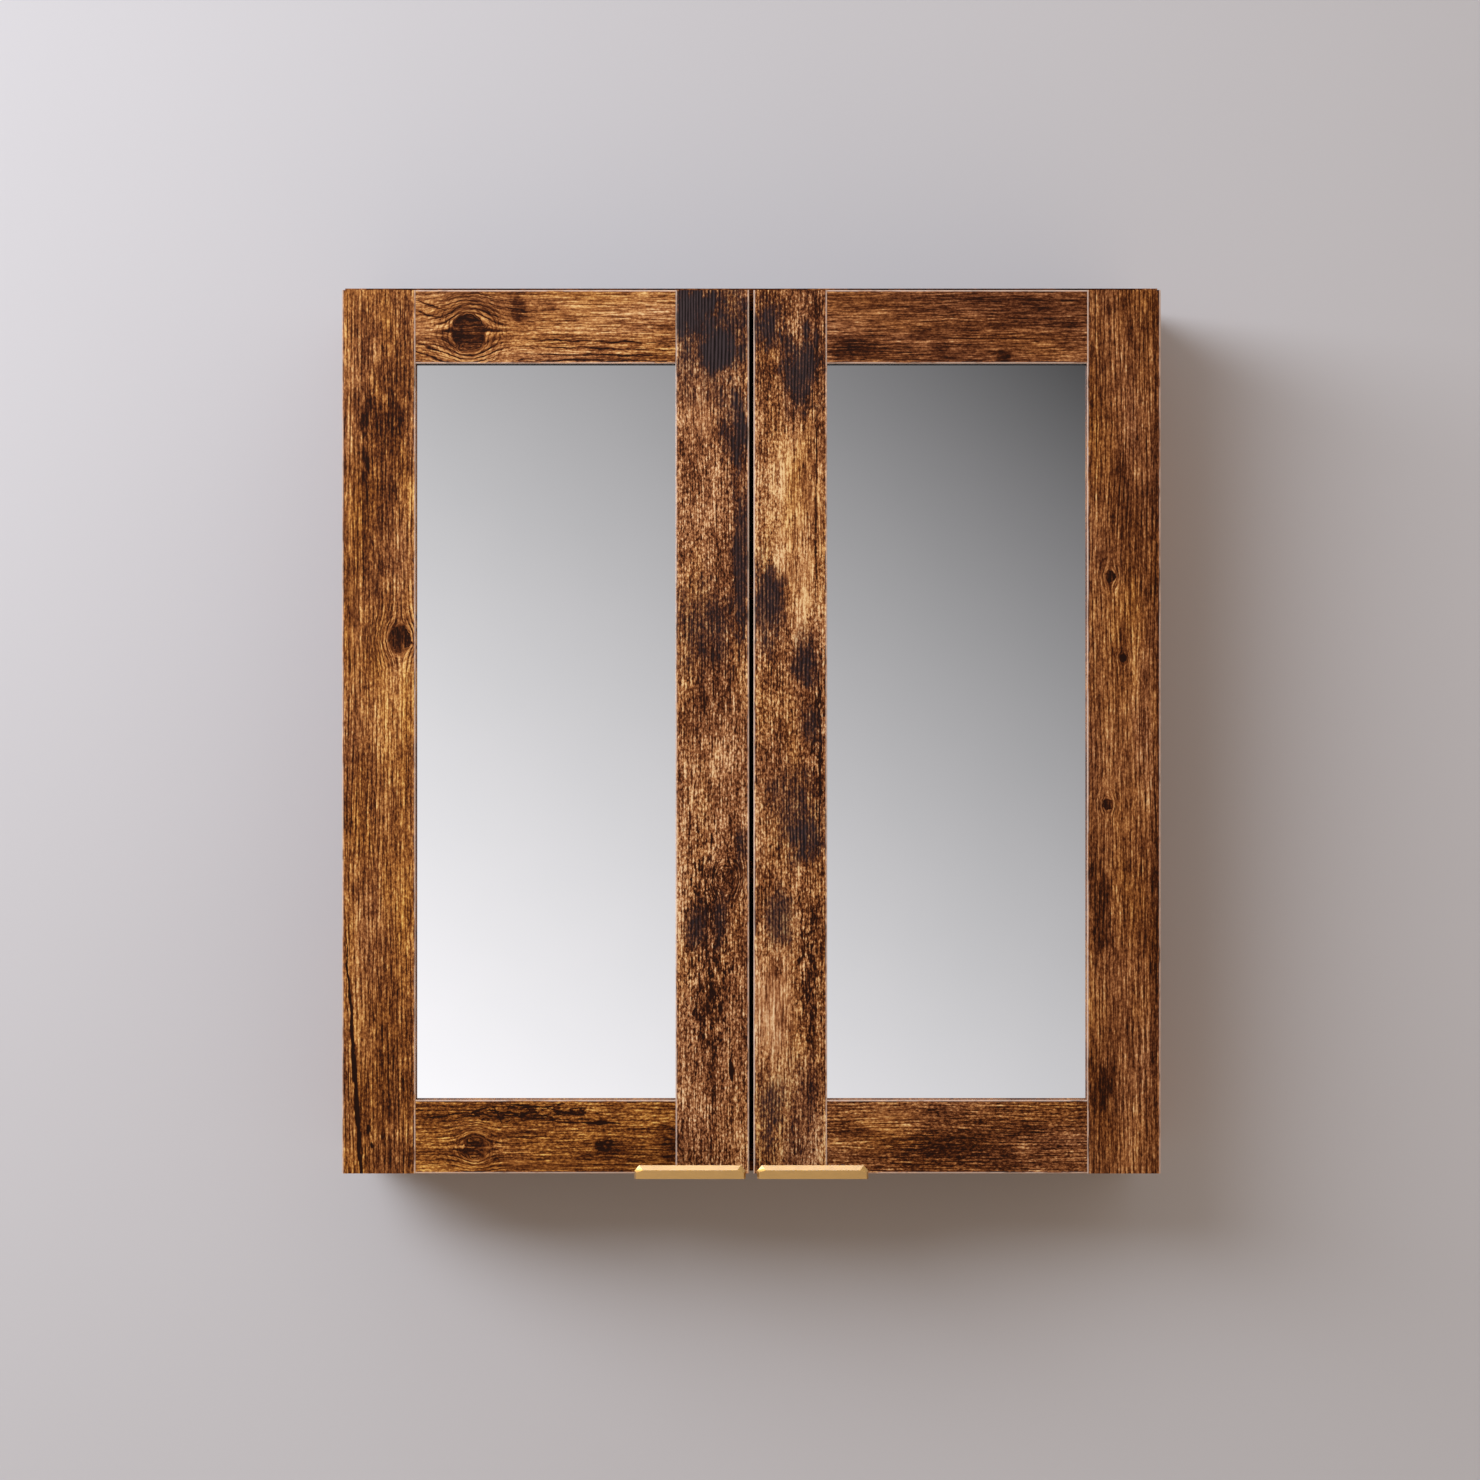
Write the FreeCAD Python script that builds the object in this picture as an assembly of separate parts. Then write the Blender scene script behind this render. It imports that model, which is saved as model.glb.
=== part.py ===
import FreeCAD, Part
import math
import os

from FreeCAD import Vector

# Two-door wall mirror cabinet with framed mirror doors on concealed single-pivot cup hinges.
# Frame: +X to the viewer's right, +Y into the wall, +Z up, in millimetres.
# The origin lies on the wall plane, at the centre of the four wall screws.

X_AXIS = Vector(1, 0, 0)
Y_AXIS = Vector(0, 1, 0)
Z_AXIS = Vector(0, 0, 1)
FIT = 0.1  # clearance on each side of a piece that is pushed into a hole or groove
SAME_PLACE = 1e-6  # points closer than this count as one

# Carcass boards
CABINET_WIDTH = 556.0
CARCASS_HEIGHT = 604.0
CARCASS_DEPTH = 112.0
BOARD = 15.0

# Back board in its grooves, and the hanging rails behind it
BACK_THICKNESS = 3.0
BACK_GROOVE_DEPTH = 6.0
RAIL_THICKNESS = 15.0
RAIL_HEIGHT = 60.0
WALL_HOLE_SPACING = 400.0
WALL_HOLE_RADIUS = 3.0

# Corner fittings: cam, cam bolt and dowel
CAM_RADIUS = 7.5
CAM_DEPTH = 12.5
CAM_FROM_END = 24.0
CAM_RECESS_WIDTH = 1.4
CAM_RECESS_DEPTH = 2.0
BOLT_RADIUS = 3.0
BOLT_NECK_RADIUS = 2.0
BOLT_HEAD_RADIUS = 3.2
BOLT_HEAD_LENGTH = 3.0
BOLT_NECK_LENGTH = 4.0
BOLT_ANCHOR = 11.0
BOLT_FROM_FRONT = 28.0
BOLT_FROM_BACK = 32.0
DOWEL_RADIUS = 4.0
DOWEL_IN_SIDE = 10.0
DOWEL_IN_BOARD = 20.0
DOWEL_TAPER = 1.5
RAIL_DOWEL_SPACING = 32.0

# Shelves and their pins
SHELVES = ("lower_shelf", "upper_shelf")
SHELF_SETBACK = 12.0
SHELF_CLEARANCE = 1.0
PIN_RADIUS = 2.5
PIN_HOLE_DEPTH = 10.0
PIN_SPACING = 32.0
PIN_ROWS = (-1, 0, 1)
PIN_FROM_EDGE = 18.0
PIN_COLLAR_RADIUS = 4.0
PIN_COLLAR = 1.2
PIN_REST_LENGTH = 10.0
PIN_REST_WIDTH = 7.0
PIN_REST_HEIGHT = 5.0

# Doors and their frames
DOOR_GAP = 3.0
DOOR_STANDOFF = 3.0
DOOR_THICKNESS = 15.0
TOP_REVEAL = 3.5
BOTTOM_REVEAL = 0.5
FRAME_WIDTH = 50.0
ARRIS = 0.6
REBATE_WIDTH = 8.0
FRONT_LIP = 6.0
TENON_LENGTH = 12.0
TENON_HEIGHT = 26.0
TENON_THICKNESS = 6.0
MIRROR_THICKNESS = 4.0
MIRROR_CLEARANCE = 0.5
MIRROR_ARRIS = 0.4

# Clips that hold the mirror and its backing in the rebate
CLIP_LENGTH = 20.0
CLIP_WIDTH = 12.0
CLIP_THICKNESS = 1.2
CLIP_OVERLAP = 7.0
CLIP_FROM_HINGE = 50.0

# Edge pull under each door
PULL_LENGTH = 75.0
PULL_FROM_EDGE = 2.4
PULL_THICKNESS = 1.6
PULL_PROJECTION = 13.0
PULL_LIP_HEIGHT = 9.0
PULL_LIP_THICKNESS = 3.0
PULL_BEVEL_DEPTH = 2.0
PULL_BEVEL_TOP = 3.1
PULL_BEVEL_END = 1.2
PULL_CORNER_LENGTH = 3.2
PULL_CORNER_HEIGHT = 3.6
PULL_SCREW_SPACING = 48.0

# Bumpers, magnetic catches and their strike plates
BUMPER_RADIUS = 4.0
BUMPER_HEIGHT = 2.7
CATCH_LENGTH = 36.0
CATCH_HEIGHT = 13.0
CATCH_DEPTH = 16.0
CATCH_EAR = 8.0
CATCH_EAR_THICKNESS = 3.0
CATCH_POLE_WIDTH = 14.0
CATCH_POLE_HEIGHT = 7.0
CATCH_POLE_REACH = 1.5
CATCH_FROM_EDGE = 26.0
STRIKE_WIDTH = 30.0
STRIKE_HEIGHT = 11.0
STRIKE_THICKNESS = 1.2

# Concealed hinges, laid out in plan from the side panel's outer face and the carcass front
HINGE_FROM_DOOR_END = 100.0
CUP_RADIUS = 17.5
CUP_DEPTH = 11.5
CUP_TAB = 3.0
CUP_FLANGE = 1.0
CUP_FLANGE_RADIUS = 18.5
CUP_EAR_RADIUS = 6.0
CUP_EAR_OFFSET = 5.5
CUP_SCREW_SPACING = 45.0
CUP_FLOOR = 0.8
SLOT_CLEARANCE = 0.4
PIVOT_FROM_EDGE = 6.8
PIVOT_DEPTH = 7.5
PIVOT_RADIUS = 1.3
PIVOT_RUNNING = 0.05
PIVOT_LENGTH = 17.0
EYE_RADIUS = 2.3
ARM_NOSE_WIDTH = 6.4
ARM_STRAP = 2.2
ARM_NECK_FROM_SIDE = 2.2
ARM_BEND = 1.2
ARM_CRANK_FRONT = -3.0
ARM_CRANK_BACK = -10.0
ARM_BACK = -58.0
ARM_WIDTH = 18.0
ARM_FLANGE_THICKNESS = 1.6
PLATE_BASE = 2.0
PLATE_RIB = 5.0
PLATE_FRONT = -20.0
PLATE_BACK = -60.0
PLATE_WING_LENGTH = 18.0
PLATE_SCREW_SPACING = 32.0
PLATE_WING_RADIUS = 5.5
PLATE_WING_CENTRE = -37.0
ARM_SCREW_RADIUS = 2.0
ARM_SCREW_HEAD_RADIUS = 3.6
ARM_SCREW_HEAD_HEIGHT = 2.0
ARM_SCREW_PLACES = (-27.0, -48.0)

# Wood screws: shank radius, head radius, length under the head
SCREW_SHANK = 1.5
SCREW_HEAD = 3.0
SCREW_POINT = 2.5
SCREW_PLAY = 0.05
RECESS_LENGTH = 3.4
RECESS_WIDTH = 0.8
RECESS_DEPTH = 0.7

# Places that several pieces share
HALF_WIDTH = CABINET_WIDTH / 2
HALF_HEIGHT = CARCASS_HEIGHT / 2
INNER_X = HALF_WIDTH - BOARD
INNER_Z = HALF_HEIGHT - BOARD
CARCASS_FRONT = -CARCASS_DEPTH
BACK_GROOVE = (-RAIL_THICKNESS - BACK_THICKNESS - 2 * FIT, -RAIL_THICKNESS)
BACK_FACE = BACK_GROOVE[0]
BACK_GROOVE_REACH = INNER_Z + BACK_GROOVE_DEPTH
DOOR_BACK = CARCASS_FRONT - DOOR_STANDOFF
DOOR_FRONT = DOOR_BACK - DOOR_THICKNESS
DOOR_TOP = HALF_HEIGHT - TOP_REVEAL
DOOR_BOTTOM = BOTTOM_REVEAL - HALF_HEIGHT
DOOR_MIDDLE = (DOOR_FRONT + DOOR_BACK) / 2
DOOR_WIDTH = (CABINET_WIDTH - DOOR_GAP) / 2
DOOR_OUTER = -HALF_WIDTH
DOOR_INNER = DOOR_OUTER + DOOR_WIDTH
REBATE_FRONT = DOOR_FRONT + FRONT_LIP
SIGHT_X = (DOOR_OUTER + FRAME_WIDTH, DOOR_INNER - FRAME_WIDTH)
SIGHT_Z = (DOOR_BOTTOM + FRAME_WIDTH, DOOR_TOP - FRAME_WIDTH)
POCKET_X = (SIGHT_X[0] - REBATE_WIDTH, SIGHT_X[1] + REBATE_WIDTH)
POCKET_Z = (SIGHT_Z[0] - REBATE_WIDTH, SIGHT_Z[1] + REBATE_WIDTH)
HINGE_HEIGHTS = (DOOR_TOP - HINGE_FROM_DOOR_END, DOOR_BOTTOM + HINGE_FROM_DOOR_END)
PIVOT_X = DOOR_OUTER + PIVOT_FROM_EDGE
PIVOT_Y = DOOR_BACK - PIVOT_DEPTH
WALL_HOLE_HEIGHT = INNER_Z - RAIL_HEIGHT / 2
BOLT_PLACES = (CARCASS_FRONT + BOLT_FROM_FRONT, -BOLT_FROM_BACK)
DOWEL_PLACE = sum(BOLT_PLACES) / 2
BOARD_MIDDLE = HALF_HEIGHT - BOARD / 2
SHELF_FRONT = CARCASS_FRONT + SHELF_SETBACK
SHELF_BACK = BACK_FACE - SHELF_CLEARANCE
PIN_PLACES = (SHELF_FRONT + PIN_FROM_EDGE, SHELF_BACK - PIN_FROM_EDGE)


def block(x, y, z):
    """Box between the low and high values of x, y and z."""
    return Part.makeBox(x[1] - x[0], y[1] - y[0], z[1] - z[0], Vector(x[0], y[0], z[0]))


def about(centre, width):
    """Low and high value of a width centred on a place."""
    return (centre - width / 2, centre + width / 2)


def rod(base, axis, radius, length):
    """Cylinder from its base centre along an axis."""
    return Part.makeCylinder(radius, length, base, axis)


def turned(base, axis, profile):
    """Solid of revolution: profile lists (distance along the axis, radius) from the base."""
    corners = [Vector(radius, 0, along) for along, radius in profile]
    corners = [Vector(0, 0, profile[0][0])] + corners + [Vector(0, 0, profile[-1][0])]
    corners = [c for i, c in enumerate(corners) if i == 0 or (c - corners[i - 1]).Length > SAME_PLACE]
    face = Part.Face(Part.makePolygon(corners + corners[:1]))
    solid = face.revolve(Vector(), Z_AXIS, 360)
    solid.Placement = FreeCAD.Placement(base, FreeCAD.Rotation(Z_AXIS, axis))
    return solid


def outline(corners):
    """Closed flat wire through (point, radius) corners, where a radius rounds its corner."""
    stretches = []
    for i, (point, radius) in enumerate(corners):
        towards_last = (corners[i - 1][0] - point).normalize()
        towards_next = (corners[(i + 1) % len(corners)][0] - point).normalize()
        half = towards_last.getAngle(towards_next) / 2
        cut = radius / math.tan(half)
        bisector = (towards_last + towards_next).normalize() if radius else Vector()
        middle = point + bisector * (radius / math.sin(half) - radius)
        stretches.append((point + towards_last * cut, middle, point + towards_next * cut, radius))
    edges = []
    for i, (start, middle, end, radius) in enumerate(stretches):
        if radius:
            edges.append(Part.Arc(start, middle, end).toShape())
        following = stretches[(i + 1) % len(stretches)][0]
        if (following - end).Length > SAME_PLACE:
            edges.append(Part.LineSegment(end, following).toShape())
    return Part.Wire(edges)


def prism(corners, reach):
    """Rounded outline pushed along the vector reach."""
    return Part.Face(outline(corners)).extrude(reach)


def plan_prism(points, z):
    """Outline of ((x, y), radius) points in plan, standing between two heights."""
    corners = [(Vector(x, y, z[0]), radius) for (x, y), radius in points]
    return prism(corners, Vector(0, 0, z[1] - z[0]))


def mirrored(shape):
    """The same piece on the other side of the cabinet."""
    return shape.mirror(Vector(), X_AXIS)


def wood_screw(seat, axis, length):
    """Countersunk cross-head screw: seat is the centre of its head face, axis its driving direction."""
    sink = SCREW_HEAD - SCREW_SHANK
    profile = [(0, SCREW_HEAD), (sink, SCREW_SHANK), (length - SCREW_POINT, SCREW_SHANK), (length, 0)]
    screw = turned(seat, axis, profile)
    return screw.cut(cross_recess(seat, axis, RECESS_LENGTH, RECESS_WIDTH, RECESS_DEPTH))


def cross_recess(seat, axis, length, width, depth):
    """Cross-shaped driver recess sunk from the seat along the axis."""
    bar = Part.makeBox(length, width, depth, Vector(-length / 2, -width / 2, 0))
    cross = bar.fuse(bar.rotated(Vector(), Z_AXIS, 90))
    cross.Placement = FreeCAD.Placement(seat, FreeCAD.Rotation(Z_AXIS, axis))
    return cross


def screw_hole(seat, axis, length):
    """Countersunk pilot hole for a wood screw of that length, with a little play all round."""
    head = SCREW_HEAD + SCREW_PLAY
    shank = SCREW_SHANK + SCREW_PLAY
    tip = (length + SCREW_PLAY, SCREW_PLAY)
    return turned(seat, axis, [(0, head), (head - shank, shank), (length - SCREW_POINT, shank), tip])


# Carcass boards and their corner fittings

CORNERS = [(side, level) for side in (-1, 1) for level in (-1, 1)]


def corner_places(places):
    """Each (side, level, y) where a fitting joins a top or bottom board to a side."""
    return [(side, level, y) for side, level in CORNERS for y in places]


def dowel_places():
    """(point on the joint plane, side) of every carcass dowel."""
    found = [(Vector(side * INNER_X, DOWEL_PLACE, level * BOARD_MIDDLE), side) for side, level in CORNERS]
    for side, level in CORNERS:
        for offset in about(0, RAIL_DOWEL_SPACING):
            height = level * WALL_HOLE_HEIGHT + offset
            found.append((Vector(side * INNER_X, -RAIL_THICKNESS / 2, height), side))
    return found


def dowel_holes(depth, towards_side):
    """Holes for the carcass dowels on one side of the joint planes."""
    return [
        rod(point, X_AXIS * (side * towards_side), DOWEL_RADIUS + FIT, depth + FIT)
        for point, side in dowel_places()
    ]


def carcass_dowels():
    """Fluted beech dowels, drawn plain, with tapered ends."""
    length = DOWEL_IN_SIDE + DOWEL_IN_BOARD
    tip = DOWEL_RADIUS - DOWEL_TAPER / 2
    profile = [
        (0, tip),
        (DOWEL_TAPER, DOWEL_RADIUS),
        (length - DOWEL_TAPER, DOWEL_RADIUS),
        (length, tip),
    ]
    return Part.Compound(
        [
            turned(point + X_AXIS * (side * DOWEL_IN_SIDE), X_AXIS * -side, profile)
            for point, side in dowel_places()
        ]
    )


def cam_centre(side, level, y):
    """Centre of a cam on the outer face of the top or bottom board."""
    return Vector(side * (INNER_X - CAM_FROM_END), y, level * HALF_HEIGHT)


def cam_bolts():
    """Steel bolts screwed into the sides, with a necked head that the cam pulls on."""
    head_start = BOLT_ANCHOR + CAM_FROM_END - BOLT_HEAD_LENGTH / 2
    neck_start = head_start - BOLT_NECK_LENGTH
    profile = [
        (0, BOLT_RADIUS),
        (neck_start, BOLT_RADIUS),
        (neck_start, BOLT_NECK_RADIUS),
        (head_start, BOLT_NECK_RADIUS),
        (head_start, BOLT_HEAD_RADIUS),
        (head_start + BOLT_HEAD_LENGTH, BOLT_HEAD_RADIUS),
    ]
    bolts = []
    for side, level, y in corner_places(BOLT_PLACES):
        base = Vector(side * (INNER_X + BOLT_ANCHOR), y, level * BOARD_MIDDLE)
        bolts.append(turned(base, X_AXIS * -side, profile))
    return Part.Compound(bolts)


def bolt_tunnels(start, length, radius):
    """Round holes along the cam bolts, from a distance inside the joint plane."""
    return [
        rod(Vector(side * (INNER_X - start), y, level * BOARD_MIDDLE), X_AXIS * side, radius, length)
        for side, level, y in corner_places(BOLT_PLACES)
    ]


def cam_locks():
    """Die-cast cams with a cross recess and a slot that takes the bolt head."""
    cams = []
    passage = BOLT_HEAD_RADIUS + FIT
    for side, level, y in corner_places(BOLT_PLACES):
        seat = cam_centre(side, level, y)
        inwards = Z_AXIS * -level
        cam = rod(seat, inwards, CAM_RADIUS - FIT, CAM_DEPTH - FIT)
        middle = Vector(seat.x - side * passage, y, level * BOARD_MIDDLE)
        cam = cam.cut(rod(middle, X_AXIS * side, passage, CAM_RADIUS + passage))
        cam = cam.cut(cross_recess(seat, inwards, CAM_RADIUS, CAM_RECESS_WIDTH, CAM_RECESS_DEPTH))
        cams.append(cam)
    return Part.Compound(cams)


def side_panel():
    """Left side board: back groove, shelf-pin holes, hinge-screw holes and corner fitting holes."""
    panel = block((-HALF_WIDTH, -INNER_X), (CARCASS_FRONT, 0), (-HALF_HEIGHT, HALF_HEIGHT))
    cuts = [block((-INNER_X - BACK_GROOVE_DEPTH, -INNER_X), BACK_GROOVE, (-HALF_HEIGHT, HALF_HEIGHT))]
    cuts += dowel_holes(DOWEL_IN_SIDE, 1)
    cuts += bolt_tunnels(0, BOLT_ANCHOR + FIT, BOLT_RADIUS + SCREW_PLAY)
    for height in shelf_heights():
        for row in PIN_ROWS:
            for y in PIN_PLACES:
                hole = Vector(-INNER_X, y, pin_height(height) + row * PIN_SPACING)
                cuts.append(rod(hole, -X_AXIS, PIN_RADIUS + SCREW_PLAY, PIN_HOLE_DEPTH))
    cuts += [screw_hole(seat, -X_AXIS, plate_screw_length()) for seat in plate_screw_seats()]
    return panel.cut(cuts)


def end_board(level):
    """Board between the sides, at the top for level 1 and at the bottom for level -1."""
    board = block((-INNER_X, INNER_X), (CARCASS_FRONT, 0), about(level * BOARD_MIDDLE, BOARD))
    cuts = [block((-INNER_X, INNER_X), BACK_GROOVE, (-BACK_GROOVE_REACH, BACK_GROOVE_REACH))]
    cuts += dowel_holes(DOWEL_IN_BOARD, -1)
    cuts += bolt_tunnels(CAM_FROM_END, CAM_FROM_END, BOLT_HEAD_RADIUS + FIT)
    for side, end, y in corner_places(BOLT_PLACES):
        cuts.append(rod(cam_centre(side, end, y), Z_AXIS * -end, CAM_RADIUS, CAM_DEPTH))
    cuts += [screw_hole(seat, Z_AXIS, catch_screw_length()) for seat in catch_screw_seats()]
    return board.cut(cuts)


def wall_holes():
    """Four holes for the wall screws, through the rails and the back board."""
    reach = RAIL_THICKNESS - BACK_FACE
    return [
        rod(Vector(x, BACK_FACE, z), Y_AXIS, WALL_HOLE_RADIUS, reach)
        for x in about(0, WALL_HOLE_SPACING)
        for z in about(0, 2 * WALL_HOLE_HEIGHT)
    ]


def back_board():
    """Hardboard back that slides in the grooves of the four boards."""
    reach_x = INNER_X + BACK_GROOVE_DEPTH - FIT
    reach_z = INNER_Z + BACK_GROOVE_DEPTH - FIT
    thickness = about(sum(BACK_GROOVE) / 2, BACK_THICKNESS)
    return block((-reach_x, reach_x), thickness, (-reach_z, reach_z)).cut(wall_holes())


def hanging_rail(level):
    """Rail behind the back board that takes the wall screws; level is 1 at the top, -1 at the bottom."""
    height = about(level * WALL_HOLE_HEIGHT, RAIL_HEIGHT)
    rail = block((-INNER_X, INNER_X), (-RAIL_THICKNESS, 0), height)
    return rail.cut(wall_holes() + dowel_holes(DOWEL_IN_BOARD, -1))


# Shelves


def shelf_heights():
    """Underside of each shelf, with equal clear heights above and below."""
    clear = (2 * INNER_Z - len(SHELVES) * BOARD) / (len(SHELVES) + 1)
    return [-INNER_Z + clear + i * (clear + BOARD) for i in range(len(SHELVES))]


def pin_height(shelf_underside):
    """Axis of the pins that carry a shelf."""
    return shelf_underside - PIN_REST_HEIGHT / 2


def shelf(underside):
    """Loose shelf board that rests on four pins."""
    reach = INNER_X - SHELF_CLEARANCE
    return block((-reach, reach), (SHELF_FRONT, SHELF_BACK), (underside, underside + BOARD))


def shelf_pins():
    """Push-in shelf pins: a peg in the side, a collar and a flat-topped rest under the shelf."""
    peg = [
        (-PIN_HOLE_DEPTH + FIT, PIN_RADIUS),
        (0, PIN_RADIUS),
        (0, PIN_COLLAR_RADIUS),
        (PIN_COLLAR, PIN_COLLAR_RADIUS),
    ]
    pins = []
    for underside in shelf_heights():
        height = pin_height(underside)
        for y in PIN_PLACES:
            turned_part = turned(Vector(-INNER_X, y, height), X_AXIS, peg)
            headroom = block(
                (-INNER_X, -INNER_X + PIN_COLLAR),
                about(y, 2 * PIN_COLLAR_RADIUS),
                (underside, height + PIN_COLLAR_RADIUS),
            )
            rest = prism(
                [
                    (Vector(-INNER_X + PIN_COLLAR, y - PIN_REST_WIDTH / 2, underside), 0),
                    (Vector(-INNER_X + PIN_COLLAR, y + PIN_REST_WIDTH / 2, underside), 0),
                    (Vector(-INNER_X + PIN_COLLAR, y, underside - PIN_REST_HEIGHT), PIN_RADIUS),
                ],
                Vector(PIN_REST_LENGTH, 0, 0),
            )
            pin = turned_part.cut(headroom).fuse(rest).removeSplitter()
            pins += [pin, mirrored(pin)]
    return Part.Compound(pins)


# Door frames


def stile_section(outer, inner):
    """Plain stile board with eased front edges; outer and inner are its x limits."""
    low, high = min(outer, inner), max(outer, inner)
    return plan_prism(
        [
            ((low, DOOR_BACK), 0),
            ((high, DOOR_BACK), 0),
            ((high, DOOR_FRONT), ARRIS),
            ((low, DOOR_FRONT), ARRIS),
        ],
        (DOOR_BOTTOM, DOOR_TOP),
    )


def rail_section(outer, inner):
    """Plain rail board with eased front edges; outer and inner are its z limits."""
    low, high = min(outer, inner), max(outer, inner)
    corners = [
        (Vector(SIGHT_X[0], DOOR_BACK, low), 0),
        (Vector(SIGHT_X[0], DOOR_BACK, high), 0),
        (Vector(SIGHT_X[0], DOOR_FRONT, high), ARRIS),
        (Vector(SIGHT_X[0], DOOR_FRONT, low), ARRIS),
    ]
    return prism(corners, Vector(SIGHT_X[1] - SIGHT_X[0], 0, 0))


def mirror_pocket():
    """Rebate in the back of the frame for the mirror and its backing."""
    return block(POCKET_X, (REBATE_FRONT, DOOR_BACK), POCKET_Z)


def tenon(end_x, direction, height, play):
    """Stub tenon or its mortise, from a rail's end into the stile."""
    reach = end_x + direction * (TENON_LENGTH + play)
    return block(
        (min(end_x, reach), max(end_x, reach)),
        about(DOOR_MIDDLE, TENON_THICKNESS + 2 * play),
        about(height, TENON_HEIGHT + 2 * play),
    )


def tenon_heights():
    """Middle of the solid part of the bottom and top rails."""
    return (
        (DOOR_BOTTOM + POCKET_Z[0]) / 2,
        (DOOR_TOP + POCKET_Z[1]) / 2,
    )


def hinge_stile():
    """Outer stile of the left door, bored for two hinge cups."""
    cuts = [mirror_pocket()]
    cuts += [tenon(SIGHT_X[0], -1, height, FIT) for height in tenon_heights()]
    for height in HINGE_HEIGHTS:
        cuts.append(rod(cup_centre(height), -Y_AXIS, CUP_RADIUS + FIT, CUP_DEPTH + FIT))
    cuts += door_screw_holes()
    return stile_section(DOOR_OUTER, SIGHT_X[0]).cut(cuts)


def meeting_stile():
    """Inner stile of the left door, beside the gap between the doors."""
    cuts = [mirror_pocket()]
    cuts += [tenon(SIGHT_X[1], 1, height, FIT) for height in tenon_heights()]
    return stile_section(DOOR_INNER, SIGHT_X[1]).cut(cuts + door_screw_holes())


def frame_rail(outer, inner, height):
    """Rail between the stiles, with a stub tenon on each end."""
    rail = rail_section(outer, inner).cut([mirror_pocket()] + door_screw_holes())
    return rail.fuse([tenon(SIGHT_X[0], -1, height, 0), tenon(SIGHT_X[1], 1, height, 0)])


def pane(front, thickness, arris):
    """Flat pane in the rebate, with its front edges ground off."""
    x = (POCKET_X[0] + MIRROR_CLEARANCE, POCKET_X[1] - MIRROR_CLEARANCE)
    z = (POCKET_Z[0] + MIRROR_CLEARANCE, POCKET_Z[1] - MIRROR_CLEARANCE)
    sheet = block(x, (front, front + thickness), z)
    if not arris:
        return sheet
    front_edges = [e for e in sheet.Edges if all(abs(v.Y - front) < SAME_PLACE for v in e.Vertexes)]
    return sheet.makeChamfer(arris, front_edges)


def mirror():
    """Silvered glass that lies on the front lip of the frame."""
    return pane(REBATE_FRONT, MIRROR_THICKNESS, MIRROR_ARRIS)


def mirror_backing():
    """Backing board behind the mirror, flush with the back of the frame."""
    front = REBATE_FRONT + MIRROR_THICKNESS
    return pane(front, DOOR_BACK - front, 0)


def clip_places():
    """(middle of the clip on the sight edge's side, direction over the backing) of the six clips."""
    middle_x = sum(POCKET_X) / 2
    places = [
        (Vector(middle_x, DOOR_BACK, POCKET_Z[0]), Z_AXIS),
        (Vector(middle_x, DOOR_BACK, POCKET_Z[1]), -Z_AXIS),
    ]
    for height in (HINGE_HEIGHTS[1] + CLIP_FROM_HINGE, HINGE_HEIGHTS[0] - CLIP_FROM_HINGE):
        places.append((Vector(POCKET_X[0], DOOR_BACK, height), X_AXIS))
        places.append((Vector(POCKET_X[1], DOOR_BACK, height), -X_AXIS))
    return places


def clip_screw_seat(edge, inwards):
    """Head seat of a clip's screw, on the frame beside the rebate."""
    solid_length = CLIP_LENGTH - CLIP_OVERLAP
    return edge - inwards * (solid_length / 2) + Y_AXIS * CLIP_THICKNESS


def mirror_clips():
    """Flat steel clips on the back of the frame that reach over the backing board."""
    clips = []
    for edge, inwards in clip_places():
        across = inwards.cross(Y_AXIS) * (CLIP_WIDTH / 2)
        start = edge - inwards * (CLIP_LENGTH - CLIP_OVERLAP)
        end = edge + inwards * CLIP_OVERLAP
        round_end = CLIP_WIDTH / 4
        corners = [
            (start - across, round_end),
            (start + across, round_end),
            (end + across, round_end),
            (end - across, round_end),
        ]
        clip = prism(corners, Y_AXIS * CLIP_THICKNESS)
        clips.append(clip.cut(screw_hole(clip_screw_seat(edge, inwards), -Y_AXIS, clip_screw_length())))
    return Part.Compound(clips)


def clip_screw_length():
    """Clip screw through the clip and half of the frame's thickness."""
    return CLIP_THICKNESS + DOOR_THICKNESS / 2


# Edge pulls


def pull_span():
    """x limits of the left door's pull."""
    return (DOOR_INNER - PULL_FROM_EDGE - PULL_LENGTH, DOOR_INNER - PULL_FROM_EDGE)


def pull_face(y, inset_end, drop, corner_length, corner_height):
    """Outline of the pull's lip at one depth: a bar with its two upper corners cut off."""
    left, right = pull_span()
    left, right = left + inset_end, right - inset_end
    low = DOOR_BOTTOM - PULL_THICKNESS
    high = low + PULL_LIP_HEIGHT - drop
    corners = [
        (left, low),
        (right, low),
        (right, high - corner_height),
        (right - corner_length, high),
        (left + corner_length, high),
        (left, high - corner_height),
    ]
    return Part.makePolygon([Vector(x, y, z) for x, z in corners + corners[:1]])


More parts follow.
